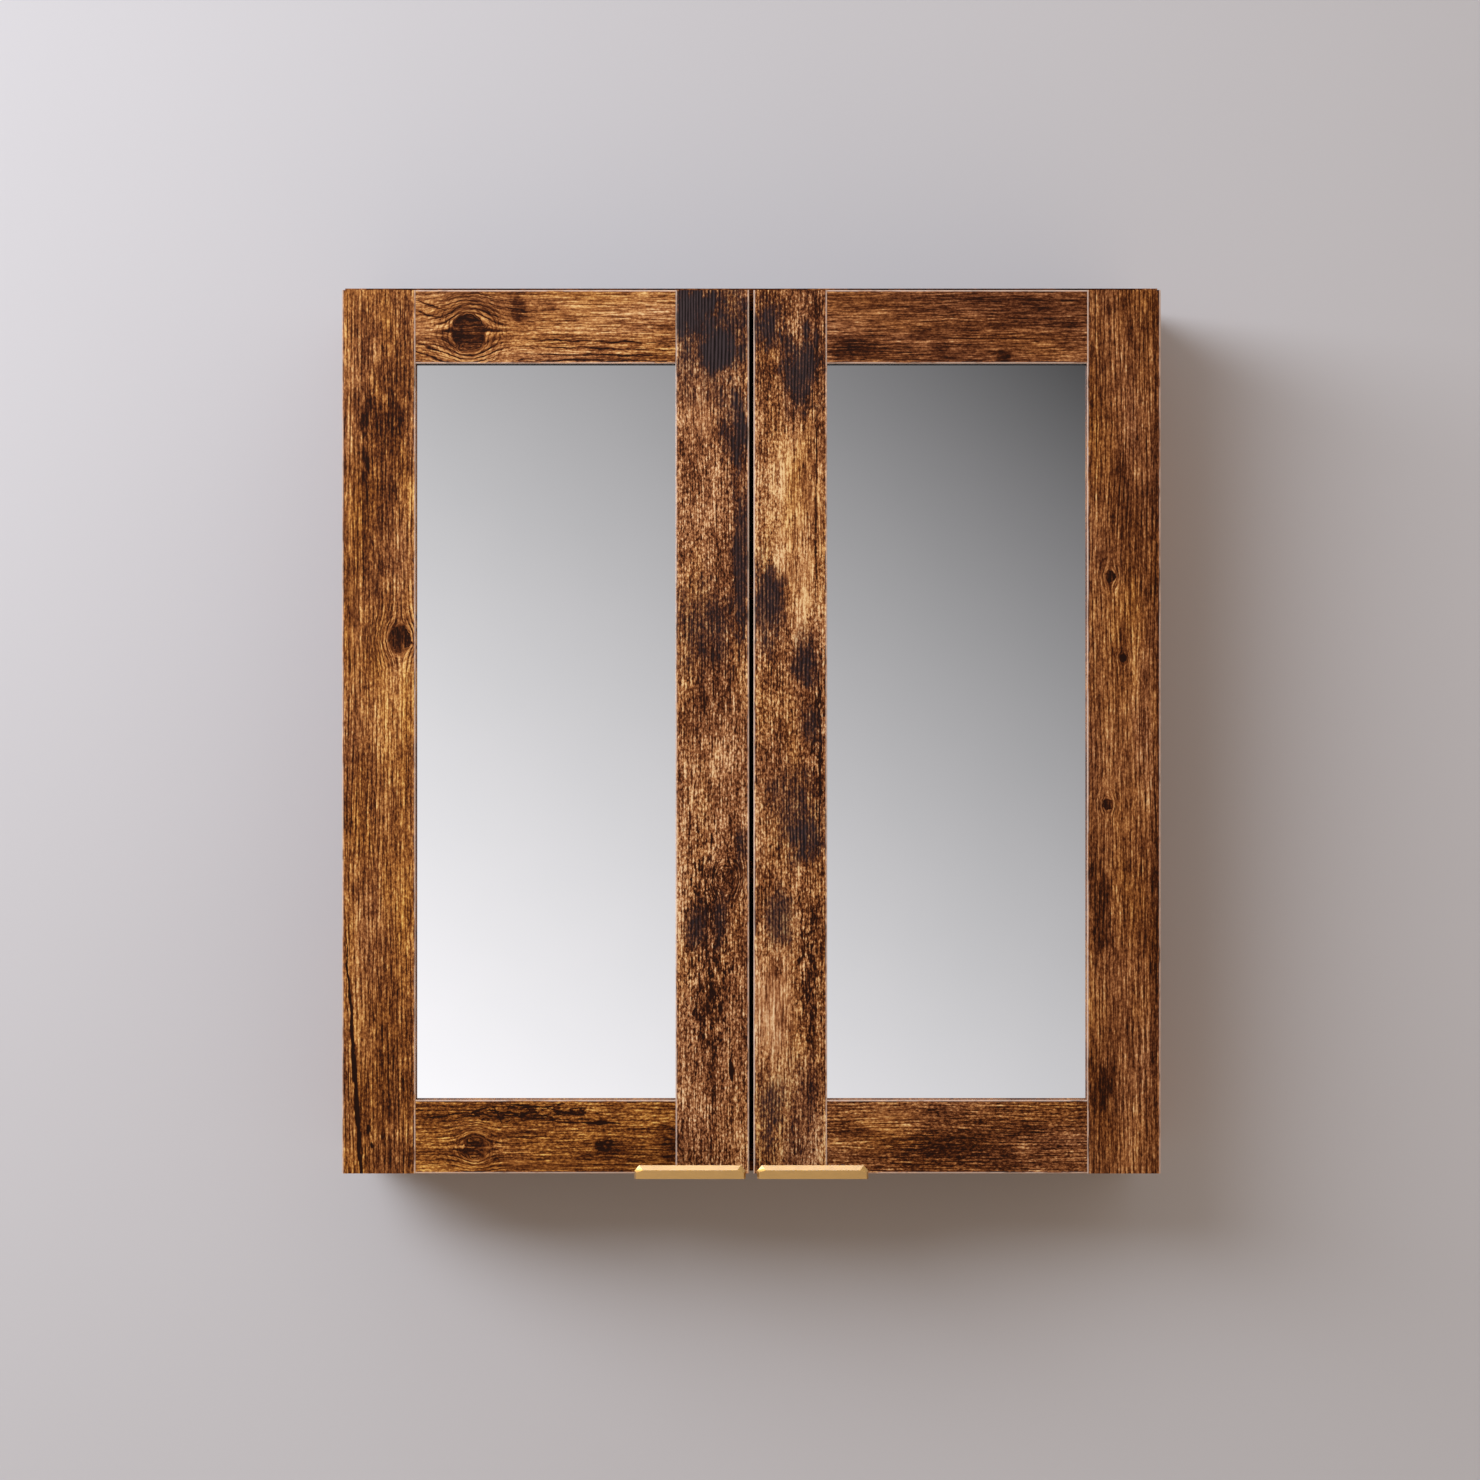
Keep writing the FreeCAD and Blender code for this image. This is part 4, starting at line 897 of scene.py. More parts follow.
def oval_reach(tree, flat, x, z, half_width, half_height):
    """Distance from the middle of an oval on the door's face, 1 on the oval's rim."""
    away = add_node(tree, "ShaderNodeVectorMath", {0: flat, 1: Vector((x, 0, z))}, operation="SUBTRACT")
    size = Vector((half_width, 1, half_height))
    share = add_node(tree, "ShaderNodeVectorMath", {0: away.outputs[0], 1: size}, operation="DIVIDE")
    return add_node(tree, "ShaderNodeVectorMath", {0: share.outputs[0]}, operation="LENGTH").outputs["Value"]


def marked_board(
    name,
    grain,
    tone,
    flecks,
    line_depth=0.25,
    knots=(),
    patches=(),
    cracks=(),
    flecked=(),
    charred=False,
    painted_shade_below=False,
    **finish,
):
    """Lays the laminate on one door board, with the marks of its print.
    A knot is (x, z, radius, swirl, darkness). A patch is (x, z, half width, half height, darkness):
    dark, or paler and smoother where darkness is negative. A crack is (x, z, x, z, width).
    A flecked place is (x, z, half width, half height). charred turns the dark patches to charcoal,
    and the last flag paints the lower edge black, as painted shade under the board."""
    material, tree, shader, place = new_material(f"scorched pine laminate, {name}")
    plain_place = place

    # Ragged noises, with width and length in mm along the grain
    ragged = {}
    for key, width, length in (("edge", 7, 15), ("fleck", 1.7, 5.5), ("waver", 5, 14)):
        size = (width, width, length) if grain == GRAIN_UP else (length, width, width)
        stretched = add_node(
            tree, "ShaderNodeVectorMath", {0: place, 1: Vector([1 / s for s in size])}, operation="MULTIPLY"
        )
        ragged[key] = add_node(
            tree, "ShaderNodeTexNoise", {"Vector": stretched.outputs[0], "Scale": 1.0, "Detail": 3.0}
        ).outputs
    edge = add_node(
        tree,
        "ShaderNodeMath",
        {0: ragged["fleck"]["Fac"], 1: FINE_FRAY, 2: ragged["edge"]["Fac"]},
        operation="MULTIPLY_ADD",
    )
    mean = 0.5 + 0.5 * FINE_FRAY
    edge = add_node(tree, "ShaderNodeMath", {0: edge.outputs[0], 1: mean}, operation="SUBTRACT")
    flat = add_node(tree, "ShaderNodeVectorMath", {0: place, 1: Vector((1, 0, 1))}, operation="MULTIPLY")

    # Scorched and pale patches, with rims frayed along the grain
    marks = {"scorch_and_shade": 0.0, "pale": 0.0, "split": 0.0}
    for x, z, half_width, half_height, darkness in patches:
        reach = oval_reach(tree, flat.outputs[0], x, z, half_width, half_height)
        frayed = add_node(
            tree, "ShaderNodeMath", {0: edge.outputs[0], 1: FRAY, 2: reach}, operation="MULTIPLY_ADD"
        )
        patch = add_node(
            tree,
            "ShaderNodeMapRange",
            {"Value": frayed.outputs[0], "From Min": 1.7, "From Max": 0.25},
            interpolation_type="SMOOTHSTEP",
        )
        kind = "pale" if darkness < 0 else "scorch_and_shade" if charred else "split"
        amount = abs(darkness) * (BROWN_PATCH if kind == "split" else 1.0)
        marks[kind] = add_node(
            tree,
            "ShaderNodeMath",
            {0: patch.outputs[0], 1: amount, 2: marks[kind]},
            operation="MULTIPLY_ADD",
        ).outputs[0]

    # Short dark flecks
    for oval in flecked:
        level = add_node(
            tree,
            "ShaderNodeMapRange",
            {
                "Value": oval_reach(tree, flat.outputs[0], *oval),
                "From Min": 0.4,
                "From Max": 1.2,
                "To Min": 0.46,
                "To Max": 0.8,
            },
        )
        over = add_node(
            tree, "ShaderNodeMath", {0: ragged["fleck"]["Fac"], 1: level.outputs[0]}, operation="SUBTRACT"
        )
        fleck = add_node(tree, "ShaderNodeMapRange", {"Value": over.outputs[0], "From Max": 0.06})
        marks["split"] = add_node(
            tree,
            "ShaderNodeMath",
            {0: fleck.outputs[0], 1: FLECK_DARKNESS, 2: marks["split"]},
            operation="MULTIPLY_ADD",
        ).outputs[0]

    # Cracks that waver along the grain
    waver = add_node(
        tree,
        "ShaderNodeVectorMath",
        {0: ragged["waver"]["Color"], 1: Vector((0.5, 0.5, 0.5))},
        operation="SUBTRACT",
    )
    waver = add_node(
        tree, "ShaderNodeVectorMath", {0: waver.outputs[0], "Scale": CRACK_WAVER}, operation="SCALE"
    )
    wavering = add_node(
        tree, "ShaderNodeVectorMath", {0: flat.outputs[0], 1: waver.outputs[0]}, operation="ADD"
    )
    wavering = add_node(
        tree, "ShaderNodeVectorMath", {0: wavering.outputs[0], 1: Vector((1, 0, 1))}, operation="MULTIPLY"
    )
    for x, z, end_x, end_z, width in cracks:
        crack = add_node(
            tree,
            "ShaderNodeGroup",
            {
                "Place": wavering.outputs[0],
                "Start": Vector((x, 0, z)),
                "End": Vector((end_x, 0, end_z)),
                "Width": width,
            },
            node_tree=crack_group,
        )
        blackness = OPEN_CRACK if width > HAIR_CRACK_WIDTH else HAIR_CRACK
        marks["split"] = add_node(
            tree,
            "ShaderNodeMath",
            {0: crack.outputs["Dark"], 1: blackness, 2: marks["split"]},
            operation="MULTIPLY_ADD",
        ).outputs[0]

    # Knots, a little taller than wide, which push aside the grain that is drawn after them
    squeeze = Vector((1, 0, 0.9) if grain == GRAIN_UP else (1.06, 0, 1))
    for x, z, radius, swirl, darkness in knots:
        knot = add_node(
            tree,
            "ShaderNodeGroup",
            {
                "Place": place,
                "Centre": Vector((x, 0, z)),
                "Radius": radius,
                "Squeeze": squeeze,
                "Swirl": swirl,
                "Darkness": darkness,
            },
            node_tree=knot_group,
        )
        place = knot.outputs["Place"]
        line_depth = add_node(
            tree,
            "ShaderNodeMath",
            {0: knot.outputs["Swirl"], 1: KNOT_LINES, 2: line_depth},
            operation="MULTIPLY_ADD",
        ).outputs[0]
        speckle = add_node(
            tree,
            "ShaderNodeMath",
            {0: ragged["fleck"]["Fac"], 1: KNOT_SPECKLE, 2: KNOT_EVEN},
            operation="MULTIPLY_ADD",
        )
        core = add_node(
            tree, "ShaderNodeMath", {0: knot.outputs["Dark"], 1: speckle.outputs[0]}, operation="MULTIPLY"
        )
        marks["split"] = add_node(
            tree, "ShaderNodeMath", {0: core.outputs[0], 1: marks["split"]}, operation="MAXIMUM"
        ).outputs[0]

    # Painted shade under the board: its lower edge, which faces down, is painted black
    if painted_shade_below:
        facing = add_node(tree, "ShaderNodeTexCoord").outputs["Normal"]
        downwards = add_node(tree, "ShaderNodeSeparateXYZ", {0: facing}).outputs["Z"]
        under = add_node(
            tree,
            "ShaderNodeMapRange",
            {"Value": downwards, "From Min": -0.8, "From Max": -0.95, "To Max": UNDERSIDE_SHADE},
        )
        marks["scorch_and_shade"] = add_node(
            tree, "ShaderNodeMath", {0: under.outputs[0], 1: marks["scorch_and_shade"]}, operation="MAXIMUM"
        ).outputs[0]

    # The marks, the painted shade below among them, lie on the front only, and change the tone and the flecks
    depth = add_node(tree, "ShaderNodeSeparateXYZ", {0: plain_place}).outputs["Y"]
    near, far = [DOOR_BACK - depth_in for depth_in in MARKS_FADE]
    front = add_node(tree, "ShaderNodeMapRange", {"Value": depth, "From Min": near, "From Max": far})
    for kind, amount in marks.items():
        marks[kind] = add_node(
            tree, "ShaderNodeMath", {0: front.outputs[0], 1: amount}, operation="MULTIPLY"
        ).outputs[0]
    darkened = add_node(
        tree, "ShaderNodeMath", {0: marks["split"], 1: MARK_DEPTH, 2: tone}, operation="MULTIPLY_ADD"
    )
    toned = add_node(
        tree,
        "ShaderNodeMath",
        {0: marks["pale"], 1: PALE_LIFT, 2: darkened.outputs[0]},
        operation="MULTIPLY_ADD",
    )
    smoothed = add_node(
        tree,
        "ShaderNodeMath",
        {0: marks["pale"], 1: PALE_SMOOTHING * flecks, 2: flecks},
        operation="MULTIPLY_ADD",
    )

    # A painted highlight also lies in a narrow broken strip beside the long edges
    across = "X" if grain == GRAIN_UP else "Z"
    low, high = [getattr(corner, across.lower()) * 1000 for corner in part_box(name)]
    at = add_node(tree, "ShaderNodeSeparateXYZ", {0: plain_place}).outputs[across]
    off_centre = add_node(tree, "ShaderNodeMath", {0: at, 1: (low + high) / 2}, operation="SUBTRACT")
    off_centre = add_node(tree, "ShaderNodeMath", {0: off_centre.outputs[0]}, operation="ABSOLUTE")
    half = (high - low) / 2
    strip = add_node(
        tree,
        "ShaderNodeMapRange",
        {"Value": off_centre.outputs[0], "From Min": half - HIGHLIGHT_STRIP, "From Max": half - ARRIS},
    )
    broken = add_node(
        tree,
        "ShaderNodeMapRange",
        {"Value": ragged["edge"]["Fac"], "From Min": 0.38, "From Max": 0.5, "To Min": 0.3},
    )
    strip = add_node(
        tree, "ShaderNodeMath", {0: strip.outputs[0], 1: broken.outputs[0]}, operation="MULTIPLY"
    )
    dressing = print_board(
        (material, tree, shader, place),
        grain,
        tone=toned.outputs[0],
        flecks=smoothed.outputs[0],
        scorch_and_shade=marks["scorch_and_shade"],
        line_depth=line_depth,
        strip_highlight=strip.outputs[0],
        **finish,
    )
    dress(dressing, name)


marked_board(
    "left_door_hinge_stile",
    GRAIN_UP,
    knots=[(-238.9, 61.5, 8.0, 0.3, 1.0)],
    patches=[
        (-252, 210, 13, 17, 0.35),
        (-262.3, 167, 2.2, 50, 0.55),
        (-272.5, -27, 4.5, 62, 0.3),
        (-242, -245, 14, 58, 0.18),
        (-250, 160, 14, 60, 0.2),
        (-255, 250, 24, 60, 0.25),
        (-271, 130, 6, 150, -0.15),
    ],
    cracks=[
        (-275.5, -140, -262.5, -340, 1.9),
        (-260.3, -268, -260, -275, 1.4),
        (-258, -280, -257.6, -284, 1.4),
    ],
    offset=(11, 40, 0),
    tone=0.55,
    redness=-0.2,
    line_gap=3.0,
    line_depth=0.34,
    flecks=1.2,
)

marked_board(
    "left_door_top_rail",
    GRAIN_ACROSS,
    knots=[(-192, 270, 13, 1.0, 1.05)],
    patches=[(-159, 286, 5.5, 10, 0.6), (-110, 285, 50, 14, -0.15), (-218, 272, 10, 8, -0.2)],
    cracks=[
        (-229, 292, -207, 284, 1.0),
        (-229, 284, -206, 279, 1.0),
        (-229, 263, -210, 257, 1.1),
        (-229, 257, -204, 249, 1.1),
        (-152, 265, -51, 262, 0.8),
        (-160, 260, -51, 258, 0.9),
        (-165, 255, -51, 254, 0.9),
        (-160, 251, -51, 250, 0.9),
    ],
    offset=(0, 33, 0),
    # the lower edge is painted black, as painted shade under the rail
    painted_shade_below=True,
    tone=0.56,
    redness=0.0,
    line_gap=3.4,
    line_depth=0.12,
    blotches=0.5,
    flecks=1.1,
)

marked_board(
    "left_door_meeting_stile",
    GRAIN_UP,
    charred=True,
    knots=[(-17, -101, 6.5, 0.9, 0.45)],
    patches=[
        (-41, 283, 12, 16, 0.9),
        (-24.6, 258, 10, 11, 0.8),
        (-10, 205, 8, 22, 0.75),
        (-7, 118, 5.5, 52, 0.75),
        (-31, 71, 16, 25, 0.5),
        (-6, -78, 4, 10, 0.6),
        (-38, -133, 7.5, 12, 0.6),
        (-21, -129, 5, 14, 0.5),
        (-34, 217, 10, 16, -0.25),
        (-28, 268, 26, 38, 0.6),
        (-12, 276, 12, 30, 0.3),
    ],
    cracks=[(-26, 78, -26, 12, 1.0), (-42, -38, -42.5, -89, 1.0), (-14, -219, -13.5, -240, 1.6)],
    flecked=[(-30, -150, 25, 120)],
    offset=(3, 5, 0),
    tone=0.53,
    redness=0.5,
    line_gap=2.2,
    blotches=1.2,
    flecks=2.1,
)

marked_board(
    "left_door_bottom_rail",
    GRAIN_ACROSS,
    knots=[(-188, -284, 8, 0.4, 0.65)],
    patches=[(-55, -279, 7, 10, 0.5), (-150, -296, 85, 4, -0.25), (-99, -284, 8, 8, 0.3)],
    cracks=[
        (-224, -264, -190, -260, 1.2),
        (-190, -260, -176, -255.5, 1.2),
        (-176, -256, -169, -268, 1.2),
        (-163, -255, -139, -257, 1.3),
        (-139, -257, -117, -262, 1.3),
        (-140, -265.5, -112, -267, 1.2),
        (-116, -266.5, -88, -268, 1.4),
    ],
    flecked=[(-149, -261, 66, 9), (-99, -284, 12, 9)],
    offset=(5, 21, 0),
    tone=0.47,
    redness=-0.6,
    line_gap=3.0,
    flecks=1.4,
)

marked_board(
    "right_door_meeting_stile",
    GRAIN_UP,
    charred=True,
    patches=[
        (10, 274, 7, 14, 0.85),
        (36, 274, 4, 6, 0.6),
        (33, 241, 11, 24, 0.85),
        (11, 87, 8.5, 29, 0.85),
        (37, 47, 7.5, 15, 0.75),
        (40, 1, 8, 12, 0.55),
        (30, -58, 14, 27, 0.55),
        (38, -75, 10, 10, 0.6),
        (19, -129, 8.5, 17, 0.75),
        (15, -258, 7, 17, 0.5),
        (34, 170, 14, 40, -0.3),
        (30, 110, 14, 30, -0.3),
        (16, -195, 12, 36, -0.45),
        (25, 268, 24, 34, 0.1),
        (25, -262, 24, 40, 0.25),
    ],
    cracks=[(44, 221, 43.5, 72, 1.1), (46, 72, 47, -90, 1.2)],
    flecked=[(45, -20, 6, 90), (40, -167, 12, 75)],
    offset=(17, 9, 0),
    tone=0.56,
    redness=0.25,
    line_gap=2.2,
    line_depth=0.2,
    blotches=1.3,
    flecks=2.1,
)

marked_board(
    "right_door_top_rail",
    GRAIN_ACROSS,
    patches=[
        (68, 258, 15, 8.5, 0.6),
        (127, 258, 7, 4, 0.3),
        (172, 254, 4.5, 5, 0.7),
        (196, 285, 28, 14, 0.2),
    ],
    offset=(9, 2, 0),
    # the lower edge is painted black, as painted shade under the rail
    painted_shade_below=True,
    tone=0.44,
    redness=0.35,
    line_gap=2.6,
    line_depth=0.15,
    blotches=0.4,
    flecks=0.9,
)

marked_board(
    "right_door_bottom_rail",
    GRAIN_ACROSS,
    patches=[(91, -265, 17, 9, -0.25), (142, -286, 42, 12, 0.35)],
    offset=(2, 60, 0),
    tone=0.41,
    redness=0.1,
    line_gap=2.6,
    blotches=0.6,
    flecks=1.5,
)

marked_board(
    "right_door_hinge_stile",
    GRAIN_UP,
    knots=[(244, 104, 3.6, 0.2, 1.1), (252.4, 48.6, 2.6, 0.2, 1.1), (242, -50.6, 3.4, 0.2, 1.2)],
    patches=[
        (276, 0, 4, 280, 0.3),
        (237, -127, 7, 31, 0.6),
        (239.5, -243, 8.5, 14, 0.55),
        (258, 150, 10, 30, 0.25),
    ],
    offset=(23, 71, 0),
    tone=0.47,
    redness=0.1,
    line_gap=3.2,
    line_depth=0.3,
    blotches=0.5,
    flecks=1.0,
)

# Mirrors
# Float glass 4 mm thick with a silvered and painted back, laid in the rebate of each frame.
# It is so smooth that only a faint polishing haze breaks the reflection.

# Silver behind clear glass: a sharp and nearly white reflection, a trace softer in clouds
HAZE = 60  # mm
silvered_glass, tree, shader, place = new_material("silvered float glass")
haze = add_node(tree, "ShaderNodeTexNoise", {"Vector": place, "Scale": 1 / HAZE, "Detail": 2.0})
roughness = add_node(
    tree, "ShaderNodeMapRange", {"Value": haze.outputs["Fac"], "To Min": 0.01, "To Max": 0.03}
)
tint = add_node(
    tree,
    "ShaderNodeMix",
    {0: haze.outputs["Fac"], 6: linear("#F8F8F9"), 7: linear("#FCFBFC")},
    data_type="RGBA",
)
tree.links.new(tint.outputs[2], shader.inputs["Base Color"])
tree.links.new(roughness.outputs[0], shader.inputs["Roughness"])
shader.inputs["Metallic"].default_value = 1.0
dress(silvered_glass, "left_mirror", "right_mirror")

# Mirror clips, strike plates and magnets
# The clips are punched from zinc-plated steel and screwed on over the edges of the backing.
# A plate of the same steel on each door meets the magnet of its catch under the top board,
# whose ground poles stand a little out of the housing.

for side in ("left", "right"):
    dress(plated_steel, f"{side}_mirror_clips", f"{side}_strike_plate")
# Ground and left bare: a darker grey than the plated steel, and duller
magnet_steel = worked_metal("magnet pole steel", "#8E8F92", 0.42, grain_mm=0.6)
dress(magnet_steel, "left_catch_magnet", "right_catch_magnet")

# Edge pulls
# A folded brass-coloured metal strip under each door with a bevelled lip turned up in front,
# brushed along its length and lacquered.

# The brushing draws the highlights out into soft bands, and the lacquer lays a thin clear gloss over them
ALONG_THE_STRIP = (0.05, 1, 1)  # the brush marks are 20 times as long as wide
satin_brass = worked_metal("brushed satin brass", "#D09F53", 0.42, grain_mm=0.5, brush=ALONG_THE_STRIP)
lacquer = satin_brass.node_tree.nodes["Principled BSDF"].inputs
lacquer["Coat Weight"].default_value = 1.0
lacquer["Coat Roughness"].default_value = 0.05
dress(satin_brass, "left_edge_pull", "right_edge_pull")

# Bumpers and catch housings
# The bumpers are clear soft domes stuck to the backs of the doors.
# The catch housings are moulded brown plastic, screwed under the top board.

# Cast and rubbery: clear with a soft gloss, which dust and touch dull in places
DULL_PLACE = 2.0  # mm
clear_soft, tree, shader, place = new_material("clear polyurethane")
cloud = add_node(tree, "ShaderNodeTexNoise", {"Vector": place, "Scale": 1 / DULL_PLACE, "Detail": 2.0})
roughness = add_node(
    tree, "ShaderNodeMapRange", {"Value": cloud.outputs["Fac"], "To Min": 0.12, "To Max": 0.3}
)
tree.links.new(roughness.outputs[0], shader.inputs["Roughness"])
shader.inputs["Base Color"].default_value = linear("#E9EBEA")
shader.inputs["Transmission Weight"].default_value = 0.85
shader.inputs["IOR"].default_value = 1.49
dress(clear_soft, "left_door_bumpers", "right_door_bumpers")

# Moulded in a spark-eroded tool: dark brown with a fine even pebble that breaks the gloss
PEBBLE = 0.5  # mm, coarser than real so that it shows
brown_plastic, tree, shader, place = new_material("moulded brown ABS")
spark = add_node(tree, "ShaderNodeTexNoise", {"Vector": place, "Scale": 1 / PEBBLE, "Detail": 2.0})
colour = add_node(
    tree,
    "ShaderNodeMix",
    {0: spark.outputs["Fac"], 6: linear("#3A281C"), 7: linear("#50392A")},
    data_type="RGBA",
)
bump = add_node(
    tree, "ShaderNodeBump", {"Height": spark.outputs["Fac"], "Strength": 0.5, "Distance": 0.00005}
)
tree.links.new(colour.outputs[2], shader.inputs["Base Color"])
tree.links.new(bump.outputs["Normal"], shader.inputs["Normal"])
shader.inputs["Roughness"].default_value = 0.48
dress(brown_plastic, "left_catch_housing", "right_catch_housing")

# Stage
# A plain pale wall close behind the cabinet and a pale floor well below it.
# Both show only from their front, so that the back of the cabinet can be seen and lit.

ROLLED_PATCH = 400  # mm
ROLLED_SHADE = 1.04  # how much paler the paint is where it is thick


def stage_sheet(name, corners, colour):
    """A flat sheet of the stage, painted in one pale colour, seen from its front side only."""
    mesh = bpy.data.meshes.new(name)
    mesh.from_pydata(corners, [], [(0, 1, 2, 3)])
    sheet = bpy.data.objects.new(name, mesh)
    scene.collection.objects.link(sheet)
    # Rolled on: matt and even, with broad patches that differ by a trace
    material, tree, shader, place = new_material(f"matt paint, {name}")
    patches = add_node(
        tree, "ShaderNodeTexNoise", {"Vector": place, "Scale": 1 / ROLLED_PATCH, "Detail": 2.0}
    )
    thick = [c * ROLLED_SHADE for c in linear(colour)[:3]] + [1.0]
    shade = add_node(
        tree,
        "ShaderNodeMix",
        {0: patches.outputs["Fac"], 6: linear(colour), 7: thick},
        data_type="RGBA",
    )
    tree.links.new(shade.outputs[2], shader.inputs["Base Color"])
    shader.inputs["Roughness"].default_value = 0.9
    ray = add_node(tree, "ShaderNodeLightPath").outputs
    seen = add_node(
        tree, "ShaderNodeMath", {0: ray["Is Camera Ray"], 1: ray["Is Glossy Ray"]}, operation="MAXIMUM"
    )
    seen = add_node(
        tree, "ShaderNodeMath", {0: seen.outputs[0], 1: ray["Is Transmission Ray"]}, operation="MAXIMUM"
    )
    back = add_node(tree, "ShaderNodeNewGeometry").outputs["Backfacing"]
    shown = add_node(
        tree, "ShaderNodeMath", {0: seen.outputs[0], 1: back}, operation="SUBTRACT", use_clamp=True
    )
    clear = add_node(tree, "ShaderNodeBsdfTransparent")
    either = add_node(
        tree,
        "ShaderNodeMixShader",
        {0: shown.outputs[0], 1: clear.outputs[0], 2: shader.outputs[0]},
    )
    output = next(n for n in tree.nodes if n.type == "OUTPUT_MATERIAL")
    tree.links.new(either.outputs[0], output.inputs["Surface"])
    mesh.materials.append(material)


WALL_REACH = 4.0  # metres, as are the next two
WALL_Y = 0.001
FLOOR_Z = -1.3
stage_sheet(
    "wall",
    [
        (-WALL_REACH, WALL_Y, FLOOR_Z),
        (WALL_REACH, WALL_Y, FLOOR_Z),
        (WALL_REACH, WALL_Y, WALL_REACH),
        (-WALL_REACH, WALL_Y, WALL_REACH),
    ],
    "#C4C5CA",
)
stage_sheet(
    "floor",
    [
        (-WALL_REACH, -WALL_REACH, FLOOR_Z),
        (WALL_REACH, -WALL_REACH, FLOOR_Z),
        (WALL_REACH, WALL_REACH, FLOOR_Z),
        (-WALL_REACH, WALL_REACH, FLOOR_Z),
    ],
    "#C9C6C4",
)

# Light and camera
# A soft key lamp stands up and to the left in front, and an even fill comes from all round.
# The room that the mirrors show grows darker upwards and to the right, and a softbox above it
# gives the bevels of the pulls their highlight.

KEY_PLACE = Vector((-1.7, -1.5, 0.95))
lamp = bpy.data.lights.new("key", "AREA")
lamp.energy = 65.0
lamp.shape = "ELLIPSE"
lamp.size = 3.4
lamp.size_y = 1.0
lamp.color = linear("#F6F9FF")[:3]
key = bpy.data.objects.new("key", lamp)
scene.collection.objects.link(key)
key.location = KEY_PLACE
key.rotation_euler = (-KEY_PLACE).to_track_quat("-Z", "Y").to_euler()
key.visible_camera = False

world = bpy.data.worlds.new("room")
scene.world = world
world.use_nodes = True
tree = world.node_tree
tree.nodes.clear()
ray = add_node(tree, "ShaderNodeLightPath").outputs
mirrored = add_node(
    tree, "ShaderNodeMath", {0: ray["Is Glossy Ray"], 1: ray["Is Transmission Ray"]}, operation="MAXIMUM"
)
direct = add_node(
    tree, "ShaderNodeMath", {0: ray["Is Camera Ray"], 1: mirrored.outputs[0]}, operation="MAXIMUM"
)
towards = add_node(tree, "ShaderNodeTexCoord").outputs["Generated"]
axes = add_node(tree, "ShaderNodeSeparateXYZ", {0: towards}).outputs

# Brightness of the room straight ahead of the mirrors, and its change for each unit aside and above
ROOM_AHEAD = 0.58
ROOM_ASIDE = -2.05
ROOM_ABOVE = -2.43
ROOM_DARKEST = 0.08
ROOM_BRIGHTEST = 1.1
ROOM_AROUND = 0.7  # past what the mirrors show to the camera
LEAST_AHEAD = 0.05
front = add_node(tree, "ShaderNodeMath", {0: axes["Y"], 1: -1.0}, operation="MULTIPLY")
front = add_node(tree, "ShaderNodeMath", {0: front.outputs[0], 1: LEAST_AHEAD}, operation="MAXIMUM")
aside = add_node(tree, "ShaderNodeMath", {0: axes["X"], 1: front.outputs[0]}, operation="DIVIDE").outputs[0]
above = add_node(tree, "ShaderNodeMath", {0: axes["Z"], 1: front.outputs[0]}, operation="DIVIDE").outputs[0]
room = add_node(tree, "ShaderNodeMath", {0: aside, 1: ROOM_ASIDE, 2: ROOM_AHEAD}, operation="MULTIPLY_ADD")
room = add_node(
    tree, "ShaderNodeMath", {0: above, 1: ROOM_ABOVE, 2: room.outputs[0]}, operation="MULTIPLY_ADD"
)
room = add_node(
    tree,
    "ShaderNodeMapRange",
    {
        "Value": room.outputs[0],
        "From Min": ROOM_DARKEST,
        "From Max": ROOM_BRIGHTEST,
        "To Min": ROOM_DARKEST,
        "To Max": ROOM_BRIGHTEST,
    },
)
off_axis = add_node(tree, "ShaderNodeCombineXYZ", {0: aside, 1: above})
off_axis = add_node(tree, "ShaderNodeVectorMath", {0: off_axis.outputs[0]}, operation="LENGTH")
beyond = add_node(
    tree,
    "ShaderNodeMapRange",
    {"Value": off_axis.outputs["Value"], "From Min": 0.18, "From Max": 0.6},
    interpolation_type="SMOOTHSTEP",
)
room = add_node(tree, "ShaderNodeMix", {0: beyond.outputs[0], 2: room.outputs[0], 3: ROOM_AROUND})

# Softbox, seen only in reflections: the cosines are of the angles from its middle to its soft rim
SOFTBOX_MIDDLE = Vector((0, -0.53, 0.85))
SOFTBOX_STRENGTH = 5.0
softbox = add_node(tree, "ShaderNodeVectorMath", {0: towards, 1: SOFTBOX_MIDDLE}, operation="DOT_PRODUCT")
softbox = add_node(
    tree,
    "ShaderNodeMapRange",
    {"Value": softbox.outputs["Value"], "From Min": 0.992, "From Max": 0.997, "To Max": SOFTBOX_STRENGTH},
    interpolation_type="SMOOTHSTEP",
)
room = add_node(tree, "ShaderNodeMath", {0: room.outputs[0], 1: softbox.outputs[0]}, operation="ADD")

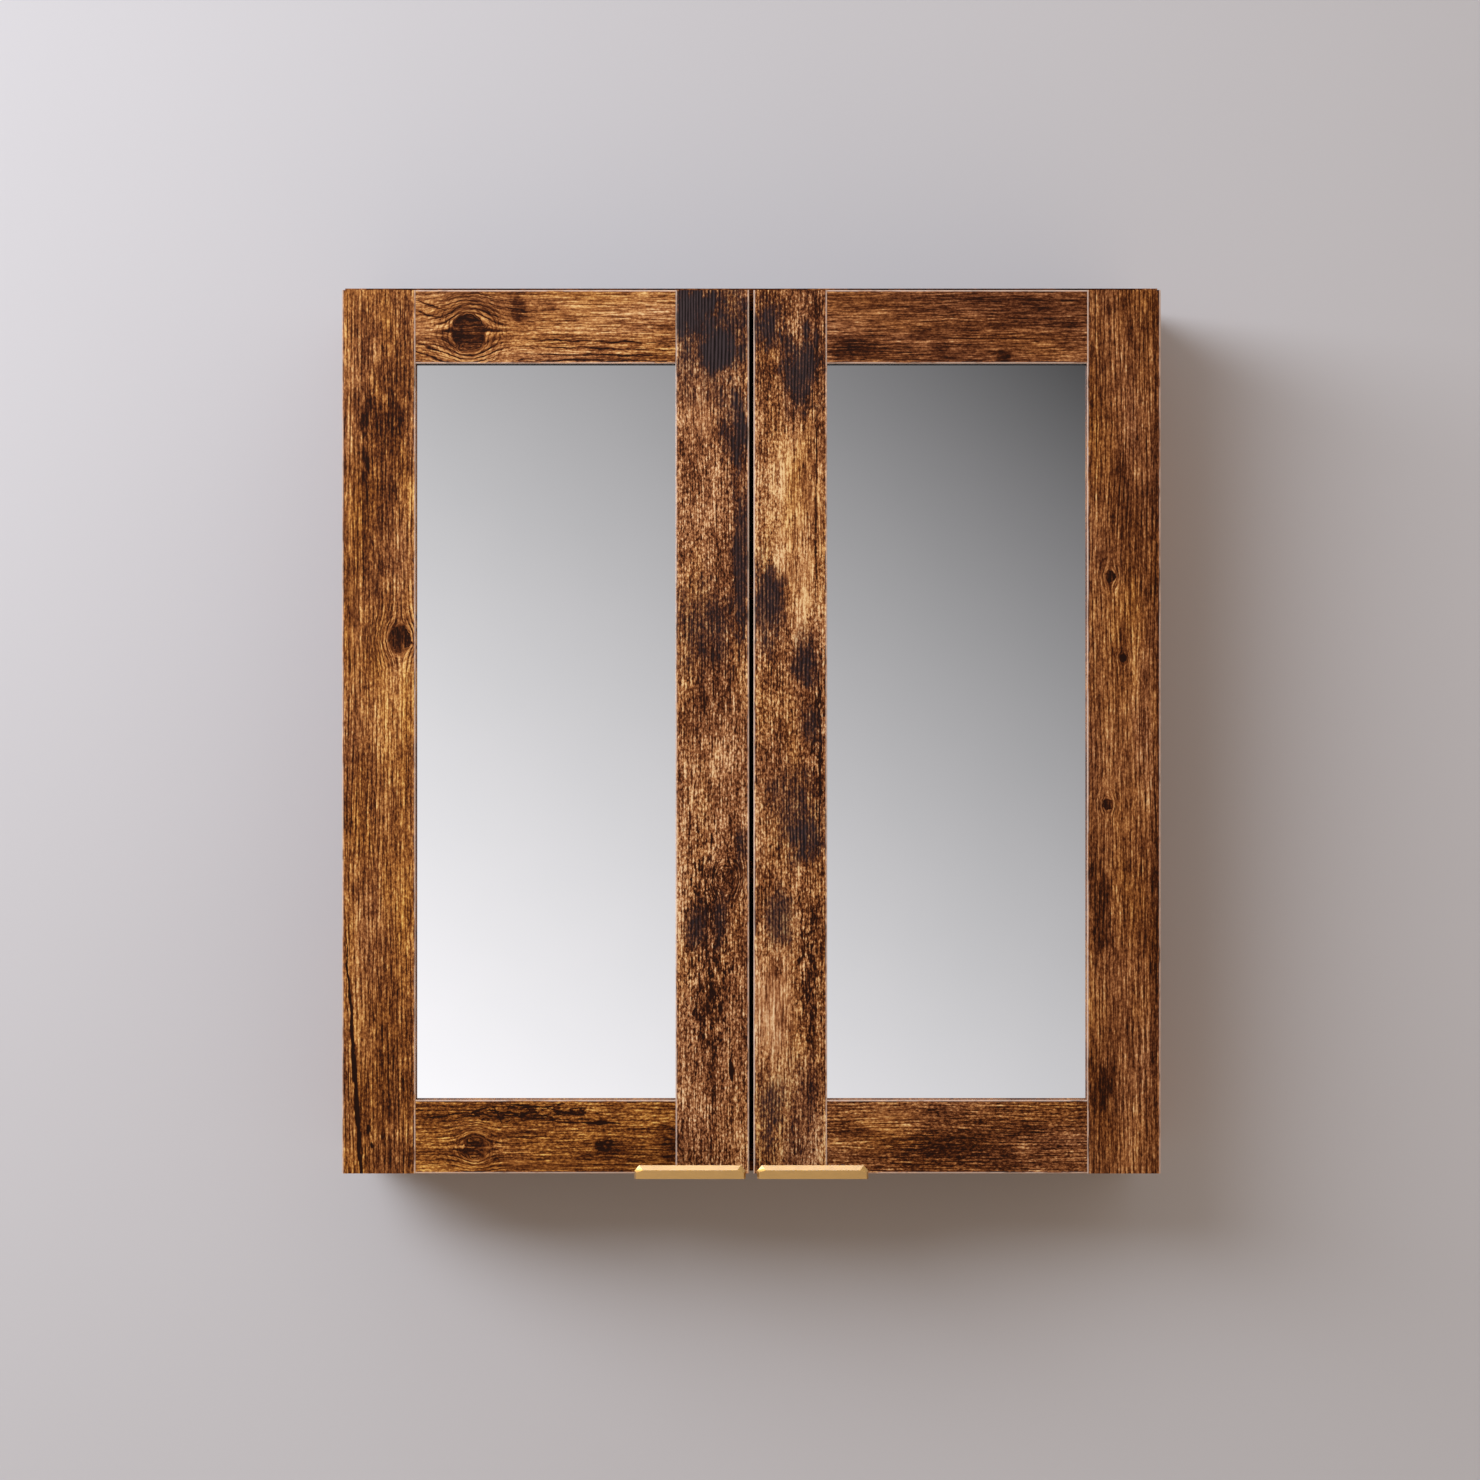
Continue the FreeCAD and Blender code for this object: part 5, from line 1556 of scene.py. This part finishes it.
# Fill from all round, more of it from above, from the right, and from above and below
FILL = 0.26
FILL_ABOVE = 0.14
FILL_RIGHT = 0.4
FILL_UPRIGHT = 0.5
fill = add_node(tree, "ShaderNodeMath", {0: axes["Z"], 1: FILL_ABOVE, 2: FILL}, operation="MULTIPLY_ADD")
right = add_node(tree, "ShaderNodeMath", {0: axes["X"], 1: 0.0}, operation="MAXIMUM").outputs[0]
fill = add_node(
    tree, "ShaderNodeMath", {0: right, 1: FILL_RIGHT, 2: fill.outputs[0]}, operation="MULTIPLY_ADD"
)
upright = add_node(tree, "ShaderNodeMath", {0: axes["Z"]}, operation="ABSOLUTE").outputs[0]
fill = add_node(
    tree, "ShaderNodeMath", {0: upright, 1: FILL_UPRIGHT, 2: fill.outputs[0]}, operation="MULTIPLY_ADD"
)

# The fill is warm from below and on the right, and cool from above
WARM_FILL = linear("#EAC7A2")
COOL_FILL = linear("#FAFBFF")
WARMTH_RIGHT = -0.5
coolness = add_node(tree, "ShaderNodeMapRange", {"Value": axes["Z"], "From Min": -1.0})
coolness = add_node(
    tree, "ShaderNodeMath", {0: right, 1: WARMTH_RIGHT, 2: coolness.outputs[0]}, operation="MULTIPLY_ADD"
)
fill_colour = add_node(
    tree, "ShaderNodeMix", {0: coolness.outputs[0], 6: WARM_FILL, 7: COOL_FILL}, data_type="RGBA"
)

# Mirrors and metals see the room, the camera sees an even backdrop, and the rest is lit by the fill
BACKDROP = 0.82
ROOM_COLOUR = linear("#FBFAFC")
strength = add_node(
    tree, "ShaderNodeMix", {0: mirrored.outputs[0], 2: fill.outputs[0], 3: room.outputs[0]}
)
strength = add_node(
    tree, "ShaderNodeMix", {0: ray["Is Camera Ray"], 2: strength.outputs[0], 3: BACKDROP}
)
colour = add_node(
    tree,
    "ShaderNodeMix",
    {0: direct.outputs[0], 6: fill_colour.outputs[2], 7: ROOM_COLOUR},
    data_type="RGBA",
)
background = add_node(
    tree, "ShaderNodeBackground", {"Color": colour.outputs[2], "Strength": strength.outputs[0]}
)
add_node(tree, "ShaderNodeOutputWorld", {"Surface": background.outputs[0]})

camera_data = bpy.data.cameras.new("camera")
camera_data.sensor_width = 36.0
camera_data.lens = 78.8
camera = bpy.data.objects.new("camera", camera_data)
scene.collection.objects.link(camera)
camera.location = (-0.0077, -2.33, -0.0071)
camera.rotation_euler = (math.radians(90), 0, 0)
scene.camera = camera
